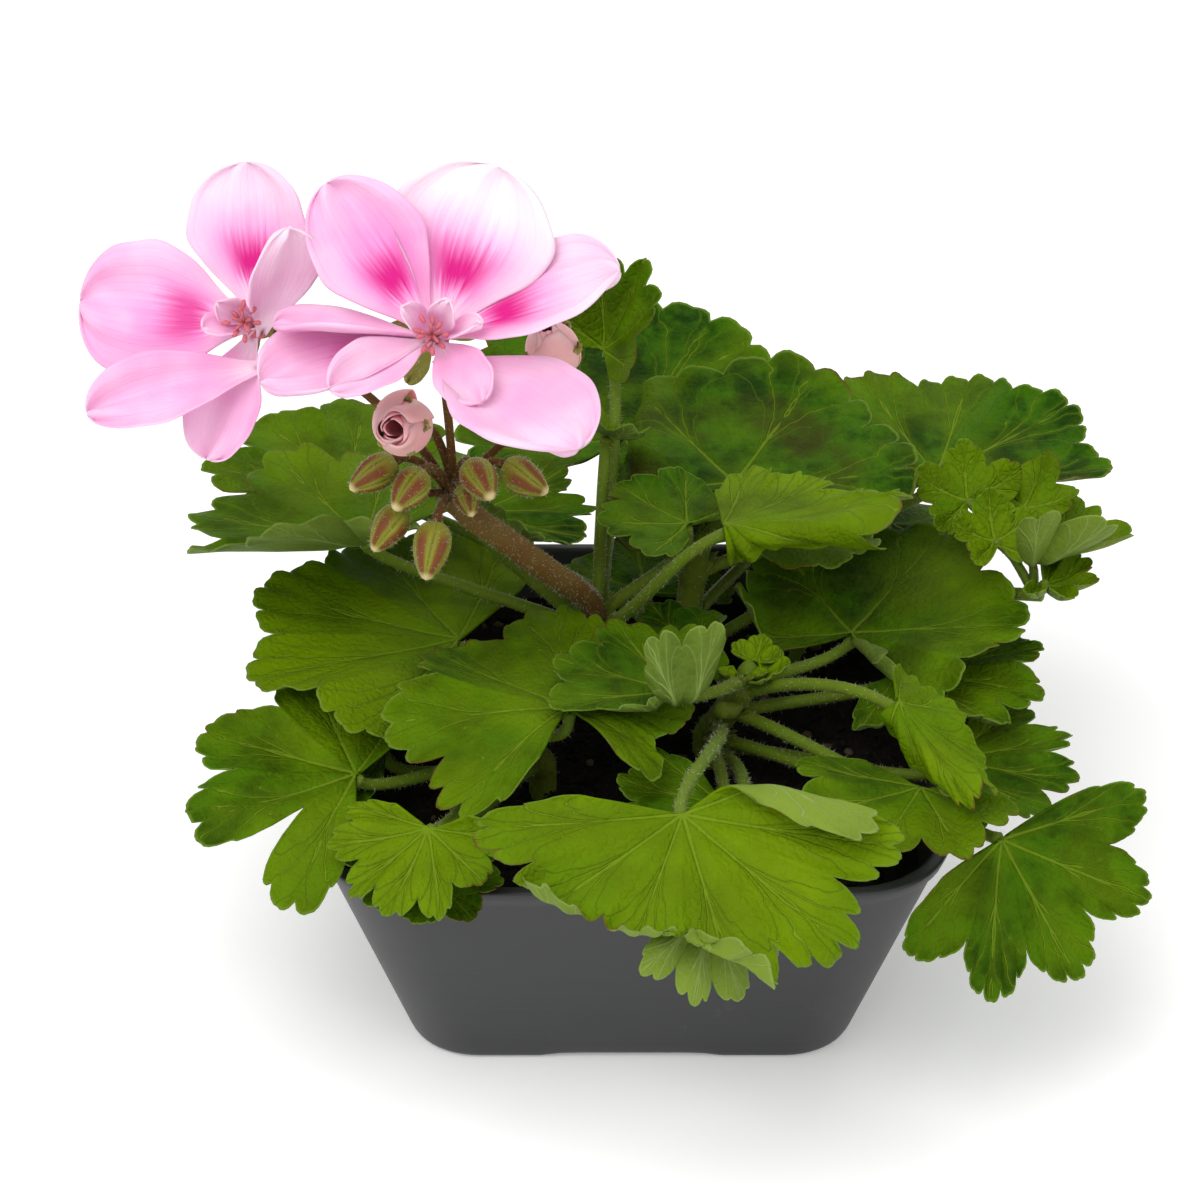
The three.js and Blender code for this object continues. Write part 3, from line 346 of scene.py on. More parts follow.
# at: the navel; aim: heading, pitch and roll; folds: direction, distance, angle, radius, side of each
leafPlan = [
    {"name": "leaf_left_folded", "at": (-48, 12, 78), "aim": (-172, -2, 0), "reach": 34, "open": (14, 60),
     "cup": 0.03, "folds": [(90, 0, -38, 0.12, 0)], "shoot": "main", "joint": 0.8, "fresh": 0.35},
    {"name": "leaf_left_back", "at": (-53, 44, 71), "aim": (180, 0, 0), "reach": 28, "lobeDepth": 0.26,
     "shoot": "main", "joint": 1, "under": (3, 4), "sway": (0, 0, 9)},
    {"name": "leaf_left_large", "at": (-31, 0, 64), "aim": (155, 0, 2), "reach": 40, "lobes": 5,
     "teeth": 4, "lobeDepth": 0.14, "open": (80, 70), "cup": 0.03, "shoot": "left", "joint": 1,
     "fresh": 0.55},
    {"name": "leaf_front_left", "at": (-11, -30, 70), "aim": (95, -6, 0), "reach": 33, "teeth": 4,
     "open": (22, 22), "basal": 0.04, "cup": 0.03, "cleft": (-110, 0.42, 45),
     "folds": [(150, 0.1, 25, 0.8, 0), (-115, 0.15, 30, 0.4, 0)], "shoot": "left", "joint": 0.9,
     "fresh": 0.35},
    {"name": "leaf_left_lobed", "at": (-48, -34, 58.6), "aim": (-160, -5, -7), "reach": 31, "lobes": 5,
     "teeth": 4, "lobeDepth": 0.28, "open": (20, 108), "cup": 0.02, "cleft": (22, 0.55, 5),
     "folds": [(60, 0.3, 22, 0.3, 1)], "shoot": "left", "joint": 0.6, "fresh": 0.3},
    {"name": "leaf_front_left_pale", "at": (-34.7, -53.9, 61.8), "aim": (-115, -32, 8), "reach": 18,
     "open": (70, 70), "wave": (0.08, 6, 40), "shoot": "left", "joint": 0.7, "fresh": 0.6},
    {"name": "leaf_front_left_rim", "at": (-35.5, -52.5, 53), "aim": (-95, -18, -8), "reach": 13.5,
     "open": (40, 40), "wide": 1.1, "shoot": "left", "joint": 0.4},
    {"name": "leaf_left_inner", "at": (-43.7, -20, 53.4), "aim": (160, 4, 0), "reach": 19, "lobes": 5,
     "teeth": 2, "open": (70, 70), "cup": 0.04, "shoot": "left", "joint": 0.35, "fresh": 0},
    {"name": "leaf_front_centre", "at": (8, -68, 75), "aim": (-80, -36, 0), "reach": 36, "teeth": 4,
     "open": (72, 58), "wide": 1.08, "cup": 0.03, "cleft": (-30, 0.27, 28),
     "folds": [(-26, 0.59, -100, 0.05, 0), (10, 0.78, 120, 0.06, 0), (165, 0.08, -160, 0.08, 1)],
     "shoot": "right", "joint": 0.45, "under": (3, 8), "sway": (8, 0, 3), "fresh": 0.75,
     "slot": "leaf_yellow_green"},
    {"name": "leaf_front_hanging", "at": (11.2, -76.2, 61.9), "aim": (-45, -52, 180), "reach": 17,
     "lobes": 5, "lobeDepth": 0.26, "open": (85, 85), "shoot": "right", "joint": 0.15, "under": (3, 8),
     "sway": (16, 6, -2), "fresh": 0.7},
    {"name": "leaf_right_front", "at": (63.5, -46, 53.5), "aim": (-5, -35, 48), "reach": 29, "lobes": 5,
     "teeth": 5, "lobeDepth": 0.3, "open": (58, 115), "shoot": "right", "joint": 0.3, "fresh": 0.12},
    {"name": "leaf_right_small", "at": (50, -37, 58), "aim": (-175, 0, 0), "reach": 23, "lobes": 5,
     "open": (135, 14), "cup": 0.02, "shoot": "right", "joint": 0.7, "fresh": 0.25},
    {"name": "leaf_right_upper", "at": (49, 0, 58), "aim": (0, 0, 0), "reach": 27, "open": (50, 90),
     "cup": 0.02, "folds": [(-90, 0.6, -95, 0.2, 0)], "shoot": "right", "joint": 0.6},
    {"name": "leaf_right_lower", "at": (56, -22, 53), "aim": (3, 0, 0), "reach": 24, "open": (80, 50),
     "cup": 0.02, "shoot": "right", "joint": 0.2},
    {"name": "leaf_right_yellow", "at": (46, -31, 72), "aim": (-50, -22, -20), "reach": 25,
     "open": (88, 55), "wide": 0.45, "cup": 0.03, "folds": [(-90, 0, 160, 0.08, 0)], "shoot": "right",
     "joint": 0.85, "under": (2, 9), "fresh": 0.6, "slot": "leaf_yellow_green"},
    {"name": "leaf_right_large", "at": (40, 5, 62), "aim": (40, 10, -2), "reach": 33, "lobes": 5,
     "teeth": 4, "lobeDepth": 0.16, "open": (42, 14), "basal": 0.35, "cup": 0.04, "cleft": (-125, 0.4, 20),
     "folds": [(150, 0.4, -60, 0.12, 1), (172, 0.02, -140, 0.06, -1)], "shoot": "right", "joint": 0.95,
     "under": (2, 8), "fresh": 0.2, "bronze": 0.25},
    {"name": "leaf_back_right", "at": (57, 37, 76), "aim": (50, 3, 2), "reach": 34, "lobes": 5, "teeth": 4,
     "lobeDepth": 0.14, "open": (110, 60), "cup": 0.04, "shoot": "back", "joint": 0.8, "fresh": 0.1},
    {"name": "leaf_back_bronze", "at": (19, 26, 81), "aim": (75, 8, 2), "reach": 36, "lobes": 5,
     "teeth": 4, "lobeDepth": 0.12, "open": (14, 40), "cup": 0.04, "folds": [(100, 0.45, 165, 0.06, 0)],
     "shoot": "back", "joint": 1, "fresh": 0.15, "bronze": 0.75, "slot": "leaf_bronze"},
    {"name": "leaf_back_left", "at": (-1, 52, 75), "aim": (60, 10, 9), "reach": 38, "lobes": 5, "teeth": 4,
     "lobeDepth": 0.12, "shoot": "main", "joint": 0.9, "fresh": 0.05},
    {"name": "leaf_top_folded", "at": (-5, 46, 97.5), "aim": (25, 58, 0), "reach": 20, "lobes": 5,
     "teeth": 2, "lobeDepth": 0.12, "open": (75, 75), "wide": 0.7, "folds": [(90, 0, -60, 0.1, 0)],
     "shoot": "main", "joint": 1},
    {"name": "leaf_top_small", "at": (-4, 29, 90), "aim": (-130, 35, 0), "reach": 8, "lobes": 5,
     "teeth": 2, "cup": 0.3, "wave": (0.15, 6, 0), "shoot": "main", "joint": 1, "fresh": 0.4},
    {"name": "leaf_centre_folded", "at": (16, -6, 92.2), "aim": (2, 3, -18), "reach": 34, "open": (95, 88),
     "cup": 0.03, "cleft": (-65, 0.65, 35), "folds": [(-90, 0.02, 165, 0.06, 0)], "shoot": "main",
     "joint": 0.9, "under": (2, 9), "sway": (2, -7, 0), "fresh": 0.6, "bronze": 0.2},
    {"name": "leaf_centre_back", "at": (10, 9, 83), "aim": (180, 8, 0), "reach": 17, "lobes": 5,
     "open": (14, 90), "shoot": "main", "joint": 1, "fresh": 0.1},
    {"name": "leaf_centre_low", "at": (3.2, 35, 51.2), "aim": (100, 0, 0), "reach": 18.5, "lobes": 5,
     "teeth": 2, "open": (50, 55), "shoot": "back", "joint": 0.3, "fresh": 0},
    {"name": "leaf_under_flower", "at": (-27, 12, 84), "aim": (-28, -5, 0), "reach": 21, "open": (60, 60),
     "folds": [(-90, 0.12, -50, 0.15, 0)], "shoot": "main", "joint": 0.75, "fresh": 0.1},
    {"name": "leaf_centre_wavy", "at": (7, -28, 72.4), "aim": (195, 0, 0), "reach": 23, "open": (45, 45),
     "cup": 0.03, "cleft": (50, 0.6, 25), "folds": [(95, 0.12, -100, 0.1, 0)], "shoot": "right",
     "joint": 1, "under": (1.5, 10), "fresh": 0.2},
    {"name": "leaf_inner_dark", "at": (10, -0.8, 64), "aim": (180, 0, 0), "reach": 13.5, "lobes": 5,
     "open": (30, 30), "cup": 0.03, "shoot": "right", "joint": 0.9, "fresh": 0},
    {"name": "leaf_front_under", "at": (15.8, -44, 59.2), "aim": (-128, -6, -5), "reach": 20, "lobes": 5,
     "open": (63, 142), "basal": 0.1, "cup": 0.02, "shoot": "right", "joint": 0.35, "fresh": 0},
    {"name": "leaf_rear_right", "at": (34, 58, 62), "aim": (75, -15, 0), "reach": 26, "lobes": 5,
     "teeth": 2, "shoot": "back", "joint": 0.5},
    {"name": "leaf_rear_left", "at": (-32, 56, 60), "aim": (110, -15, 0), "reach": 24, "lobes": 5,
     "teeth": 2, "shoot": "back", "joint": 0.4},
    {"name": "leaf_rear_corner", "at": (50, 50, 57), "aim": (40, -20, 0), "reach": 18, "lobes": 5,
     "teeth": 2, "shoot": "back", "joint": 0.3},
]

bladeLook = {"thick": 0.5, "rim": 0.22, "rows": 26, "smallReach": 15, "smallRows": 16, "stepsPerTooth": 8,
             "valley": 0.34, "forkValley": 0.22, "vein": 0.35, "ripple": 0.016, "swell": 0.26}


def leafAxes(leaf):
    # unit vectors along the middle vein, to its left and up from the blade
    h, p, r = turns(vec(leaf["aim"]))
    vein = np.array([math.cos(h) * math.cos(p), math.sin(h) * math.cos(p), math.sin(p)])
    level = np.array([-math.sin(h), math.cos(h), 0])
    above = np.cross(vein, level)
    return vein, level * math.cos(r) + above * math.sin(r), above * math.cos(r) - level * math.sin(r)


def leafSpan(leaf):
    # the blade runs from first to last round its navel and is open behind
    return turns(leaf["open"][0] - 180), turns(180 - leaf["open"][1])


def scallop(theta, leaf, parts):
    # 0 between the parts of the edge and 1 in the middle of each
    first, last = leafSpan(leaf)
    return np.abs(np.sin(np.pi * parts * (theta - first) / (last - first)))


def leafEdge(theta, leaf, luck):
    # reach of the edge: a kidney, less the notches between lobes, between teeth and within them
    first, last = leafSpan(leaf)
    toCorner = np.minimum(theta - first, last - theta)
    kidney = 1 - leaf["basal"] * (np.abs(theta) / 2.9) ** 2.2 - 0.3 * np.exp(-((toCorner / 0.16) ** 2))
    lobe = scallop(theta, leaf, leaf["lobes"]) ** 0.8
    tooth = scallop(theta, leaf, leaf["lobes"] * leaf["teeth"]) ** 0.6
    nick = scallop(theta, leaf, leaf["lobes"] * leaf["teeth"] * 2) ** 0.7
    uneven = 1 + 0.35 * np.sin(2.3 * theta + luck[0]) + 0.25 * np.sin(5.3 * theta + luck[1])
    cut = (1 - leaf["toothDepth"] * uneven * (1 - tooth)) * (1 - 0.012 * (1 - nick))
    direction, depth, width = leaf["cleft"]
    cleft = 1 - depth * np.exp(-(((theta - turns(direction)) / turns(width)) ** 2))
    return (kidney * cleft * (1 - leaf["lobeDepth"] * (1 - lobe)) * cut
            * (1 + 0.012 * np.sin(3.1 * theta + luck[2])))


def foldSheet(x, y, z, theta, fold, reach):
    # beyond a line across the sheet, a point goes round an arc of that radius and then straight on
    d, turn, sign = turns(fold[0]), turns(abs(fold[2])), np.sign(fold[2])
    bend, start = fold[3] * reach, fold[1] * reach
    along = x * math.cos(d) + y * math.sin(d) - start
    beside = y * math.cos(d) - x * math.sin(d)
    arc = np.clip(along / bend, 0, turn)
    rest = np.maximum(along - bend * turn, 0)
    out = start + bend * np.sin(arc) + rest * math.cos(turn) + sign * np.sin(arc) * z
    down = bend * (1 - np.cos(arc)) + rest * math.sin(turn)
    here = (along > 0) & (fold[4] * theta >= 0)
    return (np.where(here, out * math.cos(d) - beside * math.sin(d), x),
            np.where(here, out * math.sin(d) + beside * math.cos(d), y),
            np.where(here, np.cos(arc) * z - sign * down, z))


def bladeGrid(leaf, rows, cols, luck):
    # middle surface: theta round the navel, share out from it; cup, pleats, waves, vein valleys, then folds
    first, last = leafSpan(leaf)
    share = np.concatenate([np.linspace(0, 0.988, rows - 1), [1.0]])[:, None]
    theta = np.linspace(first, last, cols)[None, :]
    reach, lobes = leaf["reach"], leaf["lobes"]
    units = lobes * (theta - first) / (last - first)
    distance = share * leafEdge(theta, leaf, luck) * reach
    lobe = scallop(theta, leaf, lobes)
    height, count, phase = leaf["wave"]
    rise = (leaf["cup"] * share ** 2 + leaf["pleat"] * share * (1 - lobe) * (0.3 + 0.7 * share)
            + height * share ** 2.2 * np.cos(count * theta + turns(phase)))
    arcWidth = reach * (last - first) / lobes
    off = np.abs(units % 1 - 0.5)
    aside = off * share * arcWidth
    valley = (-bladeLook["valley"] * np.exp(-((aside / 1.3) ** 2)) * np.minimum(share * 6, 1)
              * (1 - share ** 4))
    fork = 0.27 * np.clip((share - 0.38) / 0.62, 0, 1) ** 0.85
    besideFork = np.abs(off - fork) * share * arcWidth
    valley = valley - (bladeLook["forkValley"] * np.exp(-((besideFork / 1.1) ** 2)) * fadeIn(share, 0.38, 0.6)
                       * (1 - share ** 6))
    ripple = bladeLook["ripple"] * reach * share ** 7 * np.sin(2 * np.pi * units * leaf["teeth"] + luck[0])
    x, y = distance * np.cos(theta), distance * np.sin(theta) * leaf["wide"]
    slow = bladeLook["swell"] * share * (np.sin(x / 5.1 + luck[1]) + np.sin(y / 4.3 + luck[2])
                                         + np.sin((x - y) / 3.7 + luck[0]))
    z = reach * rise + valley + ripple + slow
    for fold in leaf["folds"]:
        x, y, z = foldSheet(x, y, z, theta, fold, reach)
    vein, left, up = leafAxes(leaf)
    grid = vec(leaf["at"]) + x[..., None] * vein + y[..., None] * left + z[..., None] * up
    return grid, units, share, aside, arcWidth


def bladeShell(leaf, rows):
    # two sides: thinner towards the margin, and thicker below along the main veins
    luck = chance.uniform(0, 6, 3)
    cols = leaf["lobes"] * leaf["teeth"] * bladeLook["stepsPerTooth"] + 1
    grid, units, share, aside, arcWidth = bladeGrid(leaf, rows, cols, luck)
    normals = gridNormals(grid)
    normals[0] = unit(normals[1].mean(0))
    half = 0.5 * (bladeLook["rim"] + (bladeLook["thick"] - bladeLook["rim"]) * (1 - share ** 10))
    ridge = bladeLook["vein"] * np.exp(-((aside / 0.55) ** 2)) * (1 - share) * np.minimum(share * 8 + 0.4, 1)
    shape, skin = shell(grid, half[..., None], (half + ridge)[..., None], normals)
    return shape, skin, mapOf(units, share), arcWidth


# for each kind of vein: start, sideways reach, power, width at the navel, width at the edge
veinBranches = [(0.99, 0.0, 1.0, 0.5, 0.11), (0.38, 0.27, 0.85, 0.28, 0.09), (0.62, 0.105, 1.0, 0.17, 0.07),
                (0.2, 0.5, 1.25, 0.1, 0.05)]


def veinNetwork(tree):
    # distance to the nearest vein over that vein's width: main veins, their forks, and forks of the forks
    around, share, _ = mapPlace(tree)
    wander = times(calc("SUBTRACT", grain(objectPlace(tree), 150, 2), 0.5), times(share, 0.2))
    off = calc("ABSOLUTE", calc("SUBTRACT", calc("FRACT", around), 0.5))
    arc = times(share, held(tree, "lobeSpan"))
    nearest = None
    for start, sideways, power, wide, slim in veinBranches:
        grow = (calc("DIVIDE", calc("SUBTRACT", share, start), 1 - start, clamp=True) if sideways
                else fade(share, start, 1.02))
        bend = calc("ADD", times(calc("POWER", grow, power), sideways), wander)
        gap = times(calc("ABSOLUTE", calc("SUBTRACT", off, bend)), arc)
        ratio = calc("DIVIDE", gap, calc("MULTIPLY_ADD", share, slim - wide, wide))
        nearest = ratio if nearest is None else calc("MINIMUM", nearest, ratio)
    return nearest, share


def leafFinish(name, look):
    # mottled green, freshness and bronze zone by attribute, pale veins and margin, and a quilted relief
    finish, tree = startFinish(name, Roughness=look["roughness"], Sheen_Weight=look["sheen"],
                               Sheen_Roughness=0.45, Sheen_Tint=tint(210, 230, 190),
                               Specular_IOR_Level=look["specular"], Subsurface_Weight=look["through"],
                               Subsurface_Radius=(0.5, 1.0, 0.2), Subsurface_Scale=0.0012)
    where = objectPlace(tree)
    nearest, share = veinNetwork(tree)
    vein, halo = fade(nearest, 0.3, 1.4, 1, 0), fade(nearest, 0.5, 7, 1, 0)
    net = cellEdges(where, 620)
    mottle = fade(grain(where, 105, 5, 0.62), 0.38, 0.62)
    patch = fade(grain(where, 34, 3), 0.36, 0.64)
    lively = calc("MULTIPLY_ADD", patch, 0.45, calc("SUBTRACT", held(tree, "fresh"), 0.14), clamp=True)
    green = blendTints(mottle, look["dark"], look["mid"])
    green = blendTints(lively, green, look["lime"])
    green = coat(green, halo, look["halo"], look["light"])
    zone = times(times(fade(share, 0.3, 0.5), fade(share, 0.62, 0.8, 1, 0)), held(tree, "bronze"))
    green = coat(green, zone, fade(grain(where, 60, 3), 0.3, 0.6), look["bronze"])
    green = blendTints(fade(net, 0.0, 0.09, look["net"], 0), green, look["light"])
    green = coat(green, vein, look["veinShare"], look["veinTint"])
    edgeTint = blendTints(fade(grain(where, 45, 2), 0.5, 0.62), look["margin"], look["marginBrown"])
    green = coat(green, fade(share, 0.975, 0.995), 0.75, edgeTint)
    height = calc("MULTIPLY_ADD", fade(net, 0.0, 0.3), 0.35, times(vein, look["veinHeight"]))
    height = calc("ADD", height, times(grain(where, 3800, 2), 0.25))
    return finished(finish, green, height, look["bump"], 0.0004)


leafTop = leafFinish("leafTop", {
    "roughness": 0.52, "sheen": 0.0, "specular": 0.04, "through": 0.05, "dark": (20, 50, 1),
    "mid": (52, 92, 2), "lime": (106, 134, 4), "light": (84, 114, 8), "halo": 0.28, "bronze": (52, 50, 10),
    "net": 0.05, "veinTint": (120, 144, 34), "veinShare": 0.42, "margin": (100, 126, 40),
    "marginBrown": (92, 70, 28), "veinHeight": -0.7, "bump": 0.9})
leafUnder = leafFinish("leafUnder", {
    "roughness": 0.65, "sheen": 0.04, "specular": 0.15, "through": 0.06, "dark": (66, 88, 22),
    "mid": (84, 108, 30), "lime": (116, 138, 40), "light": (112, 134, 54), "halo": 0.3,
    "bronze": (84, 80, 42), "net": 0.15, "veinTint": (136, 158, 80), "veinShare": 0.55,
    "margin": (124, 144, 70), "marginBrown": (110, 88, 50), "veinHeight": 1.2, "bump": 0.5})

allLeaves = [{**leafCommon, **entry} for entry in leafPlan]
for leaf in allLeaves:
    rows = bladeLook["rows"] if leaf["reach"] > bladeLook["smallReach"] else bladeLook["smallRows"]
    shape, skin, uv, arcWidth = bladeShell(leaf, rows)
    values = {"lobeSpan": arcWidth, "fresh": leaf["fresh"], "bronze": leaf["bronze"]}
    makePiece("blade_" + leaf["name"][5:], shape, [leafTop, leafUnder], [leaf["name"]], uv,
              values, skin)
print("leaf blades made,", len(leafPlan))


# stems and leaf stalks

shoots = {
    "main": {"radius": 3.2, "path": [(-4, 11, 40), (-4, 11, 47), (-5, 10, 55), (-6, 9, 63)], "brown": 0.45},
    "right": {"radius": 2.5, "path": [(14, -4, 40), (14, -4, 46), (17, -7, 53), (20, -10, 61)],
              "brown": 0.25},
    "left": {"radius": 2.6, "path": [(-16, -14, 40), (-16, -14, 46), (-19, -17, 52), (-22, -19, 58)],
             "brown": 0.35},
    "back": {"radius": 2.6, "path": [(10, 16, 40), (10, 16, 50), (11, 18, 62), (12, 19, 72)], "brown": 0.3},
}
cutStub = {"shoot": "right", "path": [(19, -9, 57), (18, -12, 57), (16, -15, 59)], "radius": 1.5,
           "brown": 0.3}
stalkLook = {"radius": 1.1, "gap": 0.7, "soilTop": 40, "holeDepth": 11.7, "stipule": 3.6,
             "stipuleBrown": 0.35}
# number of hairs (for a leaf stalk at the least, and for each millimetre) and their length
downLook = {"stem": (260, 0.8), "leafStalk": (60, 5, 0.7), "young": (500, 0.6), "flowerStalk": (900, 0.6),
            "bloomStalk": (110, 0.6), "calyxes": (900, 0.6), "bud": (170, 0.7)}
downRoots = []


def growDown(shape, count, length):
    # roots of hairs scattered over a shape, kept for the down
    downRoots.append((*scatter(*shape, count), length))


def stalkPath(leaf, t):
    # cubic curve from the stem, drawn up and towards the blade, to just under the navel
    vein, _, up = leafAxes(leaf)
    below, behind = leaf["under"]
    slant = behind / math.hypot(below, behind)
    end = vec(leaf["at"]) - up * (stalkLook["gap"] + stalkLook["radius"] * slant)
    approach = end - up * below - vein * behind
    start = smoothPath(shoots[leaf["shoot"]]["path"], leaf["joint"])
    rise = start + (approach - start) * 0.35 + vec(leaf["sway"])
    return arch(start, rise, approach, end, t)


def stemFinish(name, roughness, green, brown, pale):
    # green to brown by attribute and by a cloudy grain, with pale specks, a fine relief and a soft sheen
    finish, tree = startFinish(name, Roughness=roughness, Sheen_Weight=0.04, Sheen_Roughness=0.5,
                               Sheen_Tint=tint(235, 235, 215), Specular_IOR_Level=0.12, Subsurface_Weight=0.1,
                               Subsurface_Radius=(0.8, 0.8, 0.3), Subsurface_Scale=0.001)
    where = objectPlace(tree)
    cloud = calc("MULTIPLY_ADD", grain(where, 160, 4), 0.7, -0.35)
    ripe = calc("ADD", held(tree, "brown"), cloud, clamp=True)
    skin = coat(blendTints(ripe, green, brown), fade(grain(where, 900, 2), 0.58, 0.72), 0.25, pale)
    return finished(finish, skin, grain(where, 1400, 3), 0.35, 0.0003)


stemGreen = stemFinish("stemGreen", 0.5, (92, 116, 22), (84, 70, 30), (140, 158, 78))
stalkRed = stemFinish("stalkRed", 0.5, (104, 98, 38), (92, 46, 26), (176, 150, 112))
paleDown = plainFinish("paleDown", 300, (196, 200, 160), (222, 218, 190), Roughness=0.5, Sheen_Weight=0.3,
                       Sheen_Roughness=0.4)


def stipules(base, outward, size):
    # a pair of small pointed flaps that clasp the stem below a leaf stalk
    s = np.linspace(0, 1, 8)[:, None]
    w = np.linspace(-1, 1, 7)[None, :]
    along = unit(outward + vec((0, 0, 0.8)))
    flaps = []
    for side in (-1, 1):
        across = unit(np.cross(along, outward + vec((0.01, 0.02, 0))) * side + outward * 0.3)
        width = 0.5 * np.sin(np.pi * s ** 0.6) ** 0.7 * (1 - s) ** 0.5 + 0.02 * (1 - s)
        grid = (base + along * (s * size)[..., None] + across * ((w * width + 0.3 * s) * size)[..., None]
                + unit(outward) * (0.25 * size * s * (1 - w ** 2))[..., None])
        flaps.append(shell(grid, 0.14, 0.14)[0])
    return flaps


for shootName, shoot in shoots.items():
    foot = (*shoot["path"][0][:2], stalkLook["soilTop"] - stalkLook["holeDepth"])
    t = np.linspace(0, 1, 60)
    mine = [leaf for leaf in allLeaves if leaf["shoot"] == shootName]
    joints = np.array([(1 + 3 * leaf["joint"]) / 4 for leaf in mine])
    knots = np.exp(-(((t[:, None] - joints) / 0.035) ** 2)).max(1)
    parts = [tube(smoothPath([foot, *shoot["path"]], t), shoot["radius"] * (0.94 + 0.12 * knots), 20, 0.03)]
    browns = [shoot["brown"]]
    for leaf in mine:
        s = np.linspace(0, 1, 30)
        path = stalkPath(leaf, s)
        swell = 1.12 - 0.2 * s + 0.25 * fadeIn(s, 0.93, 1) + 0.3 * fadeIn(s, 0.12, 0)
        stalk = tube(path, stalkLook["radius"] * swell, 12)
        least, each, length = downLook["leafStalk"]
        growDown(stalk, int(least + each * np.linalg.norm(path[-1] - path[0])), length)
        parts += [stalk, *stipules(path[1], unit(path[4] - path[0]), stalkLook["stipule"])]
        browns += [0.02 + 0.12 * (1 - leaf["fresh"]), stalkLook["stipuleBrown"], stalkLook["stipuleBrown"]]
    if shootName == cutStub["shoot"]:
        parts.append(tube(smoothPath(cutStub["path"], np.linspace(0, 1, 14)), cutStub["radius"], 14))
        browns.append(cutStub["brown"])
    growDown(parts[0], *downLook["stem"])
    makePiece("stem_" + shootName, merge(parts), [stemGreen], ["shoot_" + shootName],
              values={"brown": perPoint(parts, browns)})
print("stems and leaf stalks made")


# young growth: the curled shoot at the right and the tip in the middle

youngStem = {"radius": 1.2, "path": [(30, 22, 40), (31, 22, 46), (36, 22, 54), (45, 21, 61), (58, 19, 62.5),
                                     (68, 16, 63.5), (75, 13, 65)], "stalkRadius": 0.8, "joint": 0.97}
youngCommon = {"lobes": 5, "teeth": 3, "lobeDepth": 0.3, "toothDepth": 0.08}
youngPlan = [
    {"at": (61.5, 23, 79), "aim": (95, 35, 0), "reach": 11, "cup": 0.25, "wave": (0.15, 6, 0)},
    {"at": (72, 24, 77), "aim": (60, 20, 0), "reach": 11, "cup": 0.25, "wave": (0.15, 6, 60)},
    {"at": (66, 14, 76), "aim": (100, 30, 0), "reach": 9, "cup": 0.3, "wave": (0.15, 6, 30)},
    {"at": (72, 12, 74), "aim": (5, 5, 0), "reach": 20, "teeth": 2, "open": (70, 70), "cup": 0.1,
     "folds": [(-90, 0.05, -60, 0.15, 0)]},
    {"at": (75, 9, 70), "aim": (-20, 0, 0), "reach": 10, "lobeDepth": 0.35, "open": (60, 60), "cup": 0.3},
]
tipCommon = {"lobes": 3, "teeth": 3, "cup": 0.3, "open": (70, 70)}
tipPlan = [
    {"at": (20, -12, 64), "aim": (-100, 15, 0), "reach": 5},
    {"at": (23, -11, 64), "aim": (-20, 15, 0), "reach": 6},
    {"at": (22, -8, 65), "aim": (70, 15, 0), "reach": 5},
]
tipBud = {"at": (20.8, -10.2, 61.5), "axis": (0, 0, 1),
          "profile": [(0, 0), (1.2, 0.05), (1.7, 0.5), (2.2, 2), (1.8, 3.2), (1.0, 4.3), (0, 5)]}


def smallBlades(name, plan, common, rows, fresh, node):
    # several small blades as one piece
    made = [bladeShell({**leafCommon, **common, **entry}, rows) for entry in plan]
    parts = [sheet[0] for sheet in made]
    skin, uv = (np.concatenate([sheet[k] for sheet in made]) for k in (1, 2))
    values = {"lobeSpan": perPoint(parts, [sheet[3] for sheet in made]), "fresh": fresh, "bronze": 0.0}
    makePiece(name, merge(parts), [leafTop, leafUnder], [node], uv, values, skin)


def lathe(profile, at, axis, sides=16):
    # a profile of (radius, height) turned about an axis through a point
    axis = unit(vec(axis))
    side = unit(np.cross(axis, vec((0.3, 0.9, 0.1))))
    ring = ringOf(np.linspace(0, 2 * np.pi, sides + 1), side, np.cross(axis, side))
    radius, height = vec(profile).T[..., None, None]
    points = vec(at) + height * axis + radius * ring
    points[:, -1] = points[:, 0]
    points = points.reshape(-1, 3)
    return points, facingOut(points, gridFaces(len(profile), sides + 1))


smallBlades("young_blades", youngPlan, youngCommon, 20, 0.5, "young_shoot_right")
youngKnots = [(*youngStem["path"][0][:2], stalkLook["soilTop"] - stalkLook["holeDepth"]), *youngStem["path"]]
parts = [tube(smoothPath(youngKnots, np.linspace(0, 1, 60)), youngStem["radius"], 12)]
for entry in youngPlan:
    start, end = smoothPath(youngKnots, youngStem["joint"]), vec(entry["at"])
    middle = (start + end) / 2 + vec((1, 0, 2))
    path = arch(start, (start + 2 * middle) / 3, (end + 2 * middle) / 3, end, np.linspace(0, 1, 16))
    parts.append(tube(path, youngStem["stalkRadius"], 10))
shape = merge(parts)
makePiece("young_stem", shape, [stemGreen], ["young_shoot_right"], values={"brown": 0.1})
growDown(shape, *downLook["young"])

smallBlades("tip_blades", tipPlan, tipCommon, 16, 0.9, "shoot_right_tip")
makePiece("tip_bud", lathe(tipBud["profile"], tipBud["at"], tipBud["axis"]), [stemGreen],
          ["shoot_right_tip"], values={"brown": 0.0})
print("young growth made")


# petals

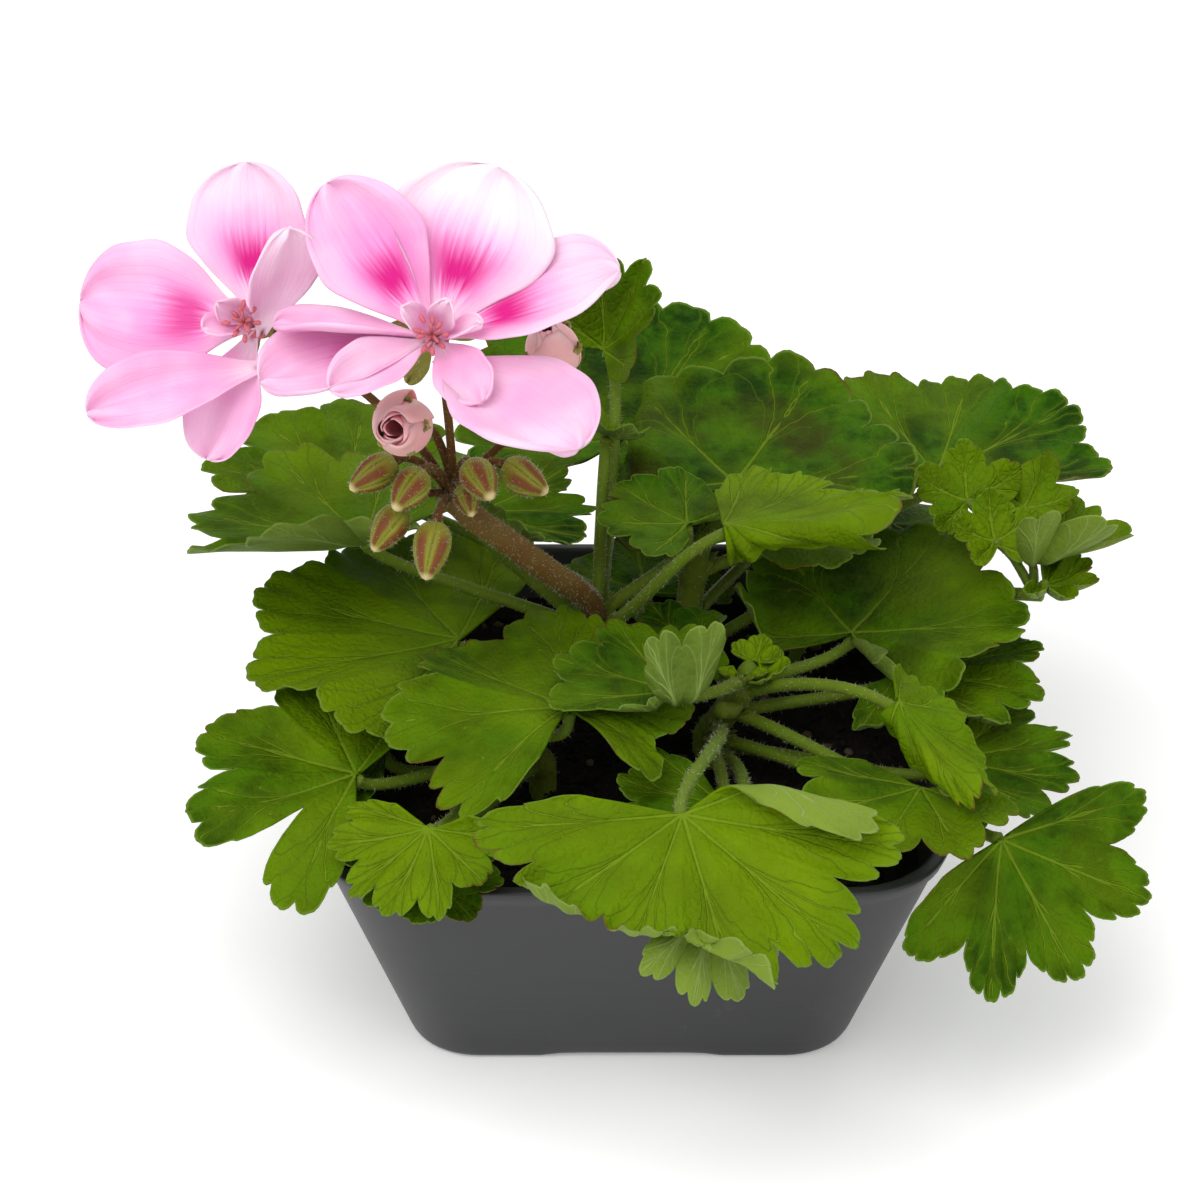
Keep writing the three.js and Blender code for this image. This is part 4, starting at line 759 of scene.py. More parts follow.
petalCommon = {"lift": 15, "twist": 0, "sag": 0, "hollow": 0.1, "ruffle": 0.045, "phase": 0, "shift": (0, 0),
               "blotch": 0.0, "white": 0.2}
florets = {
    "floret_right_petals": {"at": (-33, -22, 139), "aim": (-92, 35), "petals": [
        {"turn": 126, "length": 30, "width": 19, "lift": 12, "blotch": 1, "white": 0.1},
        {"turn": 70, "length": 29, "width": 27, "lift": 8, "blotch": 1, "white": 0.9},
        {"turn": 19, "length": 33, "width": 20, "lift": 18, "twist": -38, "blotch": 1, "white": 0.5},
        {"turn": 197, "length": 29, "width": 19, "lift": 15, "twist": 45, "blotch": 0.9, "white": 0.2},
        {"turn": -33, "length": 33, "width": 24, "lift": 30, "twist": -38, "shift": (0, -3), "white": 0.3},
        {"turn": 212, "length": 22, "width": 10, "lift": 36, "twist": 20, "white": 0.3},
        {"turn": -52, "length": 17, "width": 10, "lift": 38, "white": 0.2},
        {"turn": 178, "length": 26, "width": 12, "lift": 18, "twist": 72, "blotch": 0.3, "white": 0.2},
        {"turn": 140, "length": 10, "width": 5, "lift": 55, "twist": 30, "white": 0.5},
        {"turn": 60, "length": 11, "width": 5, "lift": 60, "white": 0.6},
        {"turn": 10, "length": 12, "width": 5, "lift": 50, "twist": -40, "white": 0.5},
    ]},
    "floret_left_petals": {"at": (-63, -14, 137), "aim": (-108, 32), "petals": [
        {"turn": 100, "length": 26, "width": 21, "lift": 10, "blotch": 1, "white": 0.5},
        {"turn": 182, "length": 29, "width": 24, "lift": 12, "blotch": 0.8, "white": 0.15},
        {"turn": 70, "length": 23, "width": 14, "lift": 34, "twist": 66, "shift": (0.8, -2.5), "white": 0.6},
        {"turn": 206, "length": 31, "width": 13, "lift": 22, "twist": 18, "shift": (4, -6), "white": 0.2},
        {"turn": 258, "length": 23, "width": 13, "lift": 0, "white": 0.1},
        {"turn": 200, "length": 10, "width": 6, "lift": 55, "twist": 40, "blotch": 0.3, "white": 0.2},
        {"turn": 150, "length": 9, "width": 5, "lift": 60, "white": 0.4},
    ]},
}
clawStart = 1.2


def floretAxes(floret):
    # level side, raised side and axis of a floret
    h, p = turns(vec(floret["aim"]))
    axis = np.array([math.cos(h) * math.cos(p), math.sin(h) * math.cos(p), math.sin(p)])
    level = unit(np.cross([0, 0, 1], axis))
    return level, np.cross(axis, level), axis


def petalSpread(along):
    # half width as a share: a narrow claw that opens to the widest place, then a round end
    rising = 0.14 + 0.86 * np.sin(np.pi / 2 * np.minimum(along / 0.62, 1)) ** 1.5
    return np.where(along < 0.62, rising, np.sqrt(np.clip(1 - ((along - 0.62) / 0.38) ** 2, 0, None)))


def petalShell(entry, floret, rows=36, cols=25, thick=0.32):
    # along the spine and across it: a hollow, a sag and a ripple, with fine fluting towards the edge
    petal = {**petalCommon, **entry}
    level, raised, axis = floretAxes(floret)
    turn, lift, twist = (turns(petal[key]) for key in ("turn", "lift", "twist"))
    outward = level * math.cos(turn) + raised * math.sin(turn)
    spine = outward * math.cos(lift) + axis * math.sin(lift)
    beside = np.cross(axis, outward)
    face = np.cross(spine, beside)
    width = beside * math.cos(twist) + face * math.sin(twist)
    normal = face * math.cos(twist) - beside * math.sin(twist)
    base = vec(floret["at"]) + spine * clawStart + level * petal["shift"][0] + raised * petal["shift"][1]
    along = (1 - (1 - np.linspace(0, 1, rows)) ** 1.6)[:, None]
    across = np.linspace(-1, 1, cols)[None, :]
    luck = chance.uniform(0, 6, 3)
    spread = petalSpread(along)
    length = petal["length"]
    ripple = petal["ruffle"] * np.sin(6 * across + petal["phase"]) * along ** 2
    flute = (0.006 * np.sin(17 * across + luck[0]) * along ** 1.5
             + 0.009 * np.sin(9 * along + 4 * across + luck[1]) * along ** 2)
    waves = (ripple + flute * (0.3 + np.abs(across))) * np.minimum(1, 2 * spread)
    rise = petal["hollow"] * across ** 2 * spread - petal["sag"] * along ** 2 + waves
    edge = 1 + (0.035 * np.sin(9 * along + luck[2]) + 0.015 * np.sin(23 * along + luck[0])) * np.abs(across)
    x = np.broadcast_to(length * along, rise.shape)
    y = 0.5 * petal["width"] * spread * across * edge
    grid = base + x[..., None] * spine + y[..., None] * width + (length * rise)[..., None] * normal
    normals = gridNormals(grid)
    normals[-1] = unit(normals[-2].mean(0))
    return shell(grid, 0.5 * thick, 0.5 * thick, normals)[0], mapOf(across * 0.5 + 0.5, along), petal


def petalFinish(name):
    # pale pink to white, a magenta blotch that fans out in streaks, pale claw, dark throat and fanned veins
    finish, tree = startFinish(name, Roughness=0.5, Sheen_Weight=0.1, Sheen_Roughness=0.4,
                               Specular_IOR_Level=0.25, Subsurface_Weight=0.3,
                               Subsurface_Radius=(1.0, 0.7, 0.9), Subsurface_Scale=0.0015)
    where = objectPlace(tree)
    across, along, place = mapPlace(tree)
    streak = grain(stretched(place, (30, 2.0, 1)), 1, 3)
    uneven = calc("ADD", along, calc("MULTIPLY_ADD", streak, 0.26, -0.13))
    off = times(calc("ABSOLUTE", calc("SUBTRACT", across, 0.5)), 2)
    core = times(fade(uneven, 0.2, 0.34), fade(uneven, 0.38, 0.6, 1, 0))
    core = times(core, fade(off, 0.15, 0.62, 1, 0))
    soft = times(fade(uneven, 0.1, 0.3), fade(uneven, 0.42, 0.8, 1, 0))
    soft = times(soft, fade(off, 0.3, 0.95, 1, 0))
    spot = held(tree, "blotch")
    pale = times(held(tree, "white"), calc("MULTIPLY_ADD", fade(along, 0.3, 0.9), 0.7, 0.3))
    fan = calc("ABSOLUTE", calc("SINE", times(across, 50)))
    claw = times(fade(uneven, 0.06, 0.28, 1, 0), fade(off, 0.2, 1.0, 1, 0.4))
    throat = times(fade(along, 0.02, 0.1, 1, 0), fade(off, 0.0, 0.8, 1, 0))
    skin = blendTints(fade(grain(where, 75, 2), 0.3, 0.7), (232, 150, 198), (240, 188, 219))
    skin = blendTints(pale, skin, (242, 228, 236))
    skin = coat(skin, fade(fan, 0.0, 0.3, 0.1, 0), along, (222, 116, 182))
    skin = coat(skin, times(soft, spot), 0.65, (232, 106, 190))
    skin = coat(skin, core, spot, (204, 16, 126))
    skin = coat(skin, claw, 0.8, (250, 222, 236))
    skin = blendTints(throat, skin, (128, 22, 56))
    height = calc("ADD", times(fade(fan, 0, 0.5), 0.5), grain(where, 500, 3))
    return finished(finish, skin, height, 0.25, 0.0003)


petalSkin = petalFinish("petalSkin")
for floretName, floret in florets.items():
    made = [petalShell(entry, floret) for entry in floret["petals"]]
    parts = [sheet[0] for sheet in made]
    values = {key: perPoint(parts, [sheet[2][key] for sheet in made]) for key in ("blotch", "white")}
    makePiece(floretName.replace("floret", "open"), merge(parts), [petalSkin], [floretName],
              np.concatenate([sheet[1] for sheet in made]), values)
print("petals made")


# flower stalk, calyxes and buds

flowerHub = (-31, -5, 97)
flowerStalk = {"path": [(-6, 9, 61), (-8, 3, 71), (-14, -3, 80), (-22, -6, 89), (-28, -6, 94), flowerHub],
               "radius": 2.3, "brown": 0.6, "bloomRadius": 0.8, "bloomBrown": 0.75, "calyxDrop": 3.6,
               "gap": 0.1}
closedBuds = [
    {"at": (-44.5, -14, 107.5), "radius": 3.1, "half": 4.7},
    {"at": (-38.3, -18, 106.8), "radius": 3.2, "half": 4.6},
    {"at": (-26, -16, 107.5), "radius": 3.2, "half": 4.6},
    {"at": (-18.5, -12, 105.5), "radius": 3.2, "half": 4.6},
    {"at": (-42, -18, 99), "radius": 3.1, "half": 4.5},
    {"at": (-34.5, -22.5, 97.5), "radius": 3.4, "half": 5.2},
    {"at": (-28.5, -13, 101.5), "radius": 2.2, "half": 3.2},
]
openingBuds = [
    {"at": (-38.7, -16, 118.6), "axis": (-0.3, -0.85, 0.4), "radius": 6.4, "half": 6.2, "closing": 0.6},
    {"at": (-13.4, -12, 131.2), "axis": (-0.2, -0.4, 0.9), "radius": 5.9, "half": 7, "closing": 0.85},
]
floretCalyx = {"cup": [(0, -1.4), (0.9, -1.2), (1.6, -0.2), (2.2, 1), (1.8, 1.3), (0, 1.4)], "turn": 20,
               "sepal": {"length": 8, "width": 3.4, "lift": -22, "hollow": 0}, "thick": 0.4}
budCalyx = {"cup": [(0, -0.6), (1.2, -0.4), (2.0, 0.4), (1.6, 0.9), (0, 1)], "turn": 10,
            "sepal": {"length": 8.5, "width": 3.6, "lift": 58, "hollow": 0.15}, "thick": 0.35}


def budAxis(bud):
    # an opening bud has its own axis, and a closed bud hangs away from the hub
    away = unit(vec(bud["at"]) - vec(flowerHub)) + vec((0, 0, -0.8))
    return unit(vec(bud.get("axis", away)))


def bloomStalk(end, axis, rise):
    # rises from the hub first and meets a bloom along its axis
    hub = vec(flowerHub)
    start = hub + (end - hub) * 0.04 + vec((0, 0, -1.6))
    s = np.linspace(0, 1, 24)
    radius = flowerStalk["bloomRadius"] * (1 + 0.35 * fadeIn(s, 0.85, 1) - 0.1 * s)
    return tube(arch(start, start + vec((0, 0, rise)), end - axis * rise, end, s), radius, 10)


def calyx(look, base, axis, aim):
    # a small cup with five sepals round it
    sepals = [petalShell({**look["sepal"], "turn": look["turn"] + 72 * k}, {"at": base, "aim": aim}, 18, 9,
                         look["thick"])[0] for k in range(5)]
    return [lathe(look["cup"], base, axis, 20), *sepals]


def budFinish(name):
    # sepals round a bud: soft red-brown stripe in the middle, green beside it, darker joins and a cream tip
    finish, tree = startFinish(name, Roughness=0.55, Sheen_Weight=0.08, Sheen_Roughness=0.5,
                               Specular_IOR_Level=0.25)
    where = objectPlace(tree)
    around, along, _ = mapPlace(tree)
    off = times(calc("ABSOLUTE", calc("SUBTRACT", calc("FRACT", around), 0.5)), 2)
    off = calc("ADD", off, calc("MULTIPLY_ADD", grain(where, 420, 2), 0.3, -0.15))
    skin = blendTints(grain(where, 260, 3), (104, 112, 16), (140, 142, 36))
    stripe = times(fade(off, 0.25, 0.8, 1, 0), fade(along, 0.1, 0.45))
    skin = coat(skin, stripe, 0.85, (108, 32, 20))
    skin = coat(skin, times(fade(off, 0.86, 0.99), fade(along, 0.95, 0.8)), 0.5, (92, 74, 22))
    skin = coat(skin, fade(along, 0.88, 1.0), 0.8, (226, 208, 150))
    return finished(finish, skin, grain(where, 900, 3), 0.3, 0.0003)


def openBudFinish(name):
    # pale salmon pink, deeper in the inner petals and paler at their lips
    finish, tree = startFinish(name, Roughness=0.5, Sheen_Weight=0.15, Sheen_Roughness=0.4,
                               Subsurface_Weight=0.5, Subsurface_Radius=(1.0, 0.5, 0.5),
                               Subsurface_Scale=0.0018)
    where = objectPlace(tree)
    around, along, _ = mapPlace(tree)
    skin = blendTints(grain(where, 200, 3), (236, 146, 150), (244, 180, 176))
    skin = coat(skin, fade(around, 0.35, 0.95), 0.5, (226, 104, 124))
    skin = coat(skin, fade(along, 0.86, 1.0), 0.35, (248, 206, 204))
    return finished(finish, skin, grain(where, 700, 3), 0.15, 0.0002)


budSkin = budFinish("budSkin")
openBudSkin = openBudFinish("openBudSkin")
calyxSkin = stemFinish("calyxSkin", 0.55, (132, 144, 62), (138, 84, 56), (206, 204, 150))


def budShape(bud, index):
    # five sepals wrapped in an egg: radius by height, with a groove at each join and a ridge on each sepal
    axis = budAxis(bud)
    side = unit(np.cross(axis, vec((0.2, 0.95, 0.1))))
    h = np.linspace(0, 1, 26)[:, None]
    angle = np.linspace(0, 2 * np.pi, 61)[None, :]
    units = 5 * angle / (2 * np.pi)
    body = np.sin(np.pi * h ** 0.74) ** 0.5 * (1 - 0.24 * h ** 2)
    groove = 1 - 0.13 * np.exp(-(((units % 1 - 0.5) ** 2 - 0.25) / 0.06) ** 2) * fadeIn(h, 0.1, 0.4)
    ridge = 1 + 0.05 * np.exp(-(((units % 1 - 0.5) / 0.09) ** 2)) * fadeIn(h, 0.2, 0.5)
    radius = bud["radius"] * body * groove * ridge
    height = bud["half"] * (2.05 * h - 1)
    ring = ringOf(angle + 0.25 * h + index, side, np.cross(axis, side))
    grid = vec(bud["at"]) + height[..., None] * axis + radius[..., None] * ring
    grid[:, -1] = grid[:, 0]
    points = grid.reshape(-1, 3)
    return (points, facingOut(points, gridFaces(*grid.shape[:2]))), mapOf(units, h, 1)


def wrappedBud(bud, count=9):
    # petals wrapped one over the other: each covers half a turn of a cup, winds in and leans over the next
    axis = budAxis(bud)
    side = unit(np.cross(axis, vec((0.2, 0.3, 0.95))))
    h = np.linspace(0, 1, 24)[:, None]
    w = np.linspace(-1, 1, 33)[None, :]
    parts, maps = [], []
    for k in range(count):
        inner = k / (count - 1)
        angle = 2.4 * k + w * (1.5 - 0.5 * inner) + chance.uniform(-0.2, 0.2)
        cup = np.sin(np.pi * (0.05 + 0.62 * h)) ** 0.75 * (1 - bud["closing"] * h ** 3 * (1 - 0.5 * inner))
        radius = bud["radius"] * cup * (1 - 0.66 * inner ** 0.9) * (1 - 0.1 * w)
        radius = radius + bud["radius"] * 0.09 * fadeIn(h, 0.78, 1) * (1 - inner) * (1 + np.sin(3 * w + k))
        top = 0.88 + 0.12 * inner - 0.2 * np.abs(w) ** 3 + 0.03 * np.sin(5 * w + 2 * k)
        height = bud["half"] * (-0.98 + (0.98 + top) * h)
        ring = ringOf(angle, side, np.cross(axis, side))
        grid = vec(bud["at"]) + height[..., None] * axis + radius[..., None] * ring
        parts.append(shell(grid, 0.13, 0.13)[0])
        maps.append(mapOf(inner + 0.05 * w, h))
    return merge(parts), np.concatenate(maps)


# stalk and bloom stalks
s = np.linspace(0, 1, 70)
swell = 1 + 0.12 * fadeIn(s, 0.9, 1) + 0.2 * fadeIn(s, 0.08, 0)
parts = [tube(smoothPath(flowerStalk["path"], s), flowerStalk["radius"] * swell, 24, 0.02)]
growDown(parts[0], *downLook["flowerStalk"])
calyxBases = [vec(floret["at"]) - floretAxes(floret)[2] * flowerStalk["calyxDrop"]
              for floret in florets.values()]
ends = [(vec(bud["at"]) - budAxis(bud) * (bud["half"] + flowerStalk["gap"]), budAxis(bud), rise)
        for buds, rise in ((closedBuds, 4), (openingBuds, 8)) for bud in buds]
ends += [(base, floretAxes(floret)[2], 12) for base, floret in zip(calyxBases, florets.values())]
for end, axis, rise in ends:
    parts.append(bloomStalk(end, axis, rise))
    growDown(parts[-1], *downLook["bloomStalk"])
browns = [flowerStalk["brown"]] + [flowerStalk["bloomBrown"]] * len(ends)
makePiece("flower_stalks", merge(parts), [stalkRed], ["flower_stalk"],
          values={"brown": perPoint(parts, browns)})

# green cups behind the open florets and the opening buds
parts = []
for base, floret in zip(calyxBases, florets.values()):
    parts += calyx(floretCalyx, base, floretAxes(floret)[2], floret["aim"])
for bud in openingBuds:
    axis = budAxis(bud)
    aim = (math.degrees(math.atan2(axis[1], axis[0])), math.degrees(math.asin(axis[2])))
    parts += calyx(budCalyx, vec(bud["at"]) - axis * (bud["half"] * 0.98), axis, aim)
shape = merge(parts)
makePiece("calyxes", shape, [calyxSkin], ["flower_stalk"], values={"brown": 0.2})
growDown(shape, *downLook["calyxes"])

for index, bud in enumerate(closedBuds):
    shape, uv = budShape(bud, index)
    makePiece(f"green_bud_{index + 1}", shape, [budSkin], [f"closed_bud_{index + 1}"], uv)
    growDown(shape, *downLook["bud"])
for index, bud in enumerate(openingBuds):
    shape, uv = wrappedBud(bud)
    makePiece(f"pink_bud_{index + 1}", shape, [openBudSkin], [f"opening_bud_{index + 1}"], uv)
print("flower stalk, calyxes and buds made")


# stamens and styles in the florets' throats

throatLook = {"count": 9, "length": 8, "radius": 0.2, "fan": 0.4, "styles": 5, "styleRadius": 0.3,
              "anther": [(0, -0.9), (0.35, -0.6), (0.45, 0), (0.35, 0.6), (0, 0.9)],
              "centre": [(0, -1.5), (1.2, -1.4), (1.8, -1.1), (2.5, -0.1), (2.2, 0.5), (1.4, 0.9), (0, 1)]}


def throatParts(floret):
    # filaments that fan out of the throat with a small anther on each, and a forked style in the middle
    level, raised, axis = floretAxes(floret)
    base = vec(floret["at"]) + axis * 0.8
    threads, tips = [], []
    for i in range(throatLook["count"]):
        angle = 2 * np.pi * i / throatLook["count"] + chance.uniform(-0.2, 0.2)
        out = level * math.cos(angle) + raised * math.sin(angle)
        length = throatLook["length"] * chance.uniform(0.6, 1.0)
        end = base + axis * length + out * length * throatLook["fan"] * chance.uniform(0.6, 1.2)
        s = np.linspace(0, 1, 10)
        middle = base + out * 1.2 + axis * length * 0.4
        line = arch(base + out * 0.8, middle, end - axis * length * 0.3, end, s)
        threads.append(tube(line, throatLook["radius"] * (1.2 - 0.6 * s), 6))
        tips.append(lathe(throatLook["anther"], end, unit(out + axis * 0.3), 8))
    for i in range(throatLook["styles"]):
        angle = 2 * np.pi * i / throatLook["styles"] + 0.4
        out = level * math.cos(angle) + raised * math.sin(angle)
        line = arch(base, base + axis * 4, base + axis * 6, base + axis * 7 + out * 1.6, np.linspace(0, 1, 8))
        tips.append(tube(line, throatLook["styleRadius"], 6))
    return merge(threads), merge(tips)


threadSkin = plainFinish("threadSkin", 400, (250, 226, 236), (238, 190, 214), Roughness=0.45,
                         Sheen_Weight=0.1, Sheen_Roughness=0.4)
antherSkin = plainFinish("antherSkin", 600, (176, 70, 92), (206, 112, 116), Roughness=0.6,
                         Sheen_Weight=0.1, Sheen_Roughness=0.4)
for side, floret in zip(("right", "left"), florets.values()):
    threads, tips = throatParts(floret)
    makePiece(f"threads_{side}", threads, [threadSkin])
    makePiece(f"anthers_{side}", tips, [antherSkin])
    centre = lathe(throatLook["centre"], floret["at"], floretAxes(floret)[2], 20)
    makePiece(f"throat_{side}", centre, [antherSkin])
print("throats made")


# down on stalks and buds

points, faces = merge([hairs(*some) for some in downRoots])
makePiece("down", (points, facingOut(points, faces)), [paleDown])
print("down made,", len(faces) // 4, "hairs")


# pot and soil

potShape = {"top": 110, "base": 80, "height": 49, "corner": 17, "wall": 1.6, "floor": 2.4, "collar": 0.7,
            "archWidth": 27, "archDepth": 6, "archHeight": 0.6, "holeRadius": 3, "holeAt": 24, "soilTop": 40}


def squareRing(half, corner, cornerSteps=14, sideSteps=14):
    # four quarter circles joined by straight sides, each side cut into steps
    half, corner = np.asarray(half, float)[..., None], np.asarray(corner, float)[..., None]
    straight = half - corner
    corners = []
    for k, (sx, sy) in enumerate(((1, -1), (1, 1), (-1, 1), (-1, -1))):
        angle = np.pi / 2 * (k - 1) + np.linspace(0, np.pi / 2, cornerSteps)
        corners.append(np.stack([sx * straight + corner * np.cos(angle),
                                 sy * straight + corner * np.sin(angle)], -1))
    pieces = []
    for k in range(4):
        after = corners[(k + 1) % 4]
        w = np.linspace(0, 1, sideSteps + 2)[1:-1][:, None]
        pieces += [corners[k], corners[k][..., -1:, :] * (1 - w) + after[..., :1, :] * w]
    ring = np.concatenate(pieces, -2)
    return np.concatenate([ring, ring[..., :1, :]], -2)


def potHalf(z):
    # half the width of the pot's outside at a height
    return 0.5 * (potShape["base"] + (potShape["top"] - potShape["base"]) * z / potShape["height"])


def makePot():
    # a profile of (inset, height) carried round the rounded square: under the base, up the wall, over the lip
    # and down inside
    top, floor, wall, collar = potShape["height"], potShape["floor"], potShape["wall"], potShape["collar"]
    outside = [(40, 0), (20, 0), (8, 0), (6, 0), (3, 0), (1.4, 0), (0.5, 0.2), (0.1, 0.7), (0, 1.6), (0, 4),
               (0, 12), (0, 24), (0, 36), (0, 45), (0, 45.7), (-0.35, 45.9), (-collar, 46.3), (-collar, 47.5),
               (-collar, top - 0.5), (-0.5, top - 0.12), (-0.1, top)]
    inside = [(wall - 0.5, top), (wall - 0.1, top - 0.15), (wall, top - 0.6), (wall, 42), (wall, 30),
              (wall, 15), (wall, floor + 1.2), (wall + 0.4, floor + 0.4), (wall + 1.2, floor), (8, floor),
              (20, floor), (37.8, floor)]
    inset, z = np.array(outside + inside, float).T
    half = np.maximum(potHalf(z) - inset, 0)
    corner = np.minimum(potShape["corner"] * potHalf(z) / (potShape["top"] / 2) - inset / 2, half)
    ring = squareRing(half, np.maximum(corner, 0))
    height = np.broadcast_to(z[:, None], ring.shape[:2]).copy()
    across = np.minimum(np.abs(ring[..., 0]), np.abs(ring[..., 1]))
    inset = np.broadcast_to(inset[:, None], height.shape)
    archHalf, archDepth = potShape["archWidth"] / 2, potShape["archDepth"]
    lift = (potShape["archHeight"] * fadeIn(across, archHalf + 1.5, archHalf - 1.5)
            * fadeIn(inset, archDepth + 0.5, archDepth - 0.5) * fadeIn(height, 3, 0.5))
    height += lift * (np.arange(len(z)) < len(outside))[:, None]
    points = np.concatenate([ring, height[..., None]], -1).reshape(-1, 3)
    return points, facingOut(points, gridFaces(*ring.shape[:2]))


def potFinish():
    # dark grey moulded plastic: cloudy tone, faint drag marks, pale scuffs and a fine grain
    finish, tree = startFinish("potPlastic", Specular_IOR_Level=0.4)
    where = objectPlace(tree)
    cloud = grain(where, 28, 4)
    drag = grain(stretched(where, (40, 40, 900)), 1, 3)
    scuff = fade(grain(stretched(where, (220, 220, 90)), 1, 5, 0.7), 0.62, 0.78)
    skin = coat(blendTints(cloud, (37, 38, 39), (48, 49, 49)), drag, 0.3, (62, 63, 63))
    skin = coat(skin, scuff, 0.3, (100, 102, 102))
    rough = calc("MULTIPLY_ADD", scuff, 0.15, calc("MULTIPLY_ADD", cloud, 0.2, 0.36))
    tree.links.new(rough, tree.nodes["Principled BSDF"].inputs["Roughness"])
    return finished(finish, skin, calc("ADD", grain(where, 1600, 2), times(drag, 0.4)), 0.12, 0.0002)


pot = makePiece("pot_shell", makePot(), [potFinish()], ["pot"])
drills = []
for x in (-potShape["holeAt"], potShape["holeAt"]):
    for y in (-potShape["holeAt"], potShape["holeAt"]):
        bpy.ops.mesh.primitive_cylinder_add(vertices=32, radius=potShape["holeRadius"] * 0.001, depth=0.01,
                                            location=(x * 0.001, y * 0.001, 0.001))
        drills.append(bpy.context.object)
for drill in drills:
    cut = pot.modifiers.new("drainHole", "BOOLEAN")
    cut.operation, cut.solver, cut.object = "DIFFERENCE", "EXACT", drill
bpy.context.view_layer.update()
drilled = bpy.data.meshes.new_from_object(pot.evaluated_get(bpy.context.evaluated_depsgraph_get()))
pot.modifiers.clear()
pot.data = drilled
for drill in drills:
    bpy.data.objects.remove(drill)
print("pot made,", len(pot.data.polygons), "faces")

soilLook = {"rings": 90, "waveRings": 86, "gap": 0.25, "bottomGap": 0.9, "drop": 3, "bottom": 2.9,
            "corner": 0.3}
crumbLook = {"count": 1500, "low": 0.35, "high": 1.1, "spread": 46, "seed": 11}
barkLook = {"count": 70, "low": 0.8, "high": 1.8, "spread": 45, "seed": 12}


def soilFinish():
    # near-black damp peat with brown fibres
    finish, tree = startFinish("soilPeat", Roughness=0.9, Specular_IOR_Level=0.2)
    where = objectPlace(tree)
    clump = fade(grain(where, 320, 5, 0.7), 0.4, 0.65)
    fibre = fade(grain(stretched(where, (900, 300, 500)), 1, 4), 0.6, 0.72)
    skin = coat(blendTints(clump, (10, 8, 6), (28, 21, 15)), fibre, 0.5, (62, 44, 28))
    return finished(finish, skin, grain(where, 700, 6, 0.7), 0.9, 0.0012)


def soilHeight(x, y):
    # many small waves of random heading and length added up, about a millimetre in all
    waves = np.random.default_rng(3)
    total = np.zeros(np.broadcast(x, y).shape)
    for length, size in ((18, 0.5), (9, 0.35), (5, 0.25), (3, 0.18), (1.9, 0.12)):
        for _ in range(5):
            angle, phase = waves.uniform(0, 2 * np.pi, 2)
            total += size * 0.6 * np.sin((x * np.cos(angle) + y * np.sin(angle)) * 2 * np.pi / length + phase)
    return total


def soilShape():
    # rings from the middle to the wall, then down the side and back under; the waves die out at the wall
    rings, top = soilLook["rings"], potShape["soilTop"]
    inner = potHalf(top) - potShape["wall"] - soilLook["gap"]
    bottom = potHalf(potShape["floor"]) - potShape["wall"] - soilLook["bottomGap"]
    half = np.concatenate([np.linspace(0, 1, rings) * inner, [inner, bottom, bottom * 0.5, 0]])
    z = np.concatenate([np.full(rings, top, float), [top - soilLook["drop"], 3], [soilLook["bottom"]] * 2])
    ring = squareRing(half, half * soilLook["corner"], 16, 34)
    height = np.broadcast_to(z[:, None], ring.shape[:2]).copy()
    rough = soilHeight(ring[..., 0], ring[..., 1]) - 0.2
    calm = np.concatenate([np.ones(soilLook["waveRings"]), [0.8, 0.6, 0.4, 0.2]])
    height[:rings] += rough[:rings] * calm[:, None]
    points = np.concatenate([ring, height[..., None]], -1).reshape(-1, 3)
    return points, facingOut(points, gridFaces(*ring.shape[:2]))


def crumbs(count, low, high, spread, seed):
    # small lumps: a rough ball of 12 points pushed in and out, flattened, turned at random, set into the soil
    dice = np.random.default_rng(seed)
    g = (1 + 5 ** 0.5) / 2
    ball = unit(vec([(-1, g, 0), (1, g, 0), (-1, -g, 0), (1, -g, 0), (0, -1, g), (0, 1, g), (0, -1, -g),
                     (0, 1, -g), (g, 0, -1), (g, 0, 1), (-g, 0, -1), (-g, 0, 1)]))
    shape = np.array([(0, 11, 5), (0, 5, 1), (0, 1, 7), (0, 7, 10), (0, 10, 11), (1, 5, 9), (5, 11, 4),
                      (11, 10, 2), (10, 7, 6), (7, 1, 8), (3, 9, 4), (3, 4, 2), (3, 2, 6), (3, 6, 8),
                      (3, 8, 9), (4, 9, 5), (2, 4, 11), (6, 2, 10), (8, 6, 7), (9, 8, 1)])
    place = dice.uniform(-spread, spread, (count, 2))
    size = dice.uniform(low, high, (count, 1, 1)) * dice.uniform(0.5, 1.2, (count, 1, 3))
    lumps = ball[None] * dice.uniform(0.75, 1.15, (count, 12, 1)) * size
    angle = dice.uniform(0, 2 * np.pi, count)
    c, s = np.cos(angle)[:, None], np.sin(angle)[:, None]
    x, y = lumps[..., 0] * c - lumps[..., 1] * s, lumps[..., 0] * s + lumps[..., 1] * c
    z = lumps[..., 2] * 0.7 + (potShape["soilTop"] + soilHeight(place[:, 0], place[:, 1]) + 0.1)[:, None]
    points = np.stack([x + place[:, :1], y + place[:, 1:], z], -1).reshape(-1, 3)
    faces = (np.arange(count)[:, None, None] * 12 + shape).reshape(-1, 3)
    return points, facingOut(points, faces)


soilPeat = soilFinish()
barkBits = plainFinish("barkBits", 500, (44, 31, 20), (84, 66, 44), 4, Roughness=0.85)
makePiece("soil_block", soilShape(), [soilPeat], ["potting_soil"])
makePiece("soil_crumbs", crumbs(**crumbLook), [soilPeat])
makePiece("soil_bark", crumbs(**barkLook), [barkBits])
print("soil made")


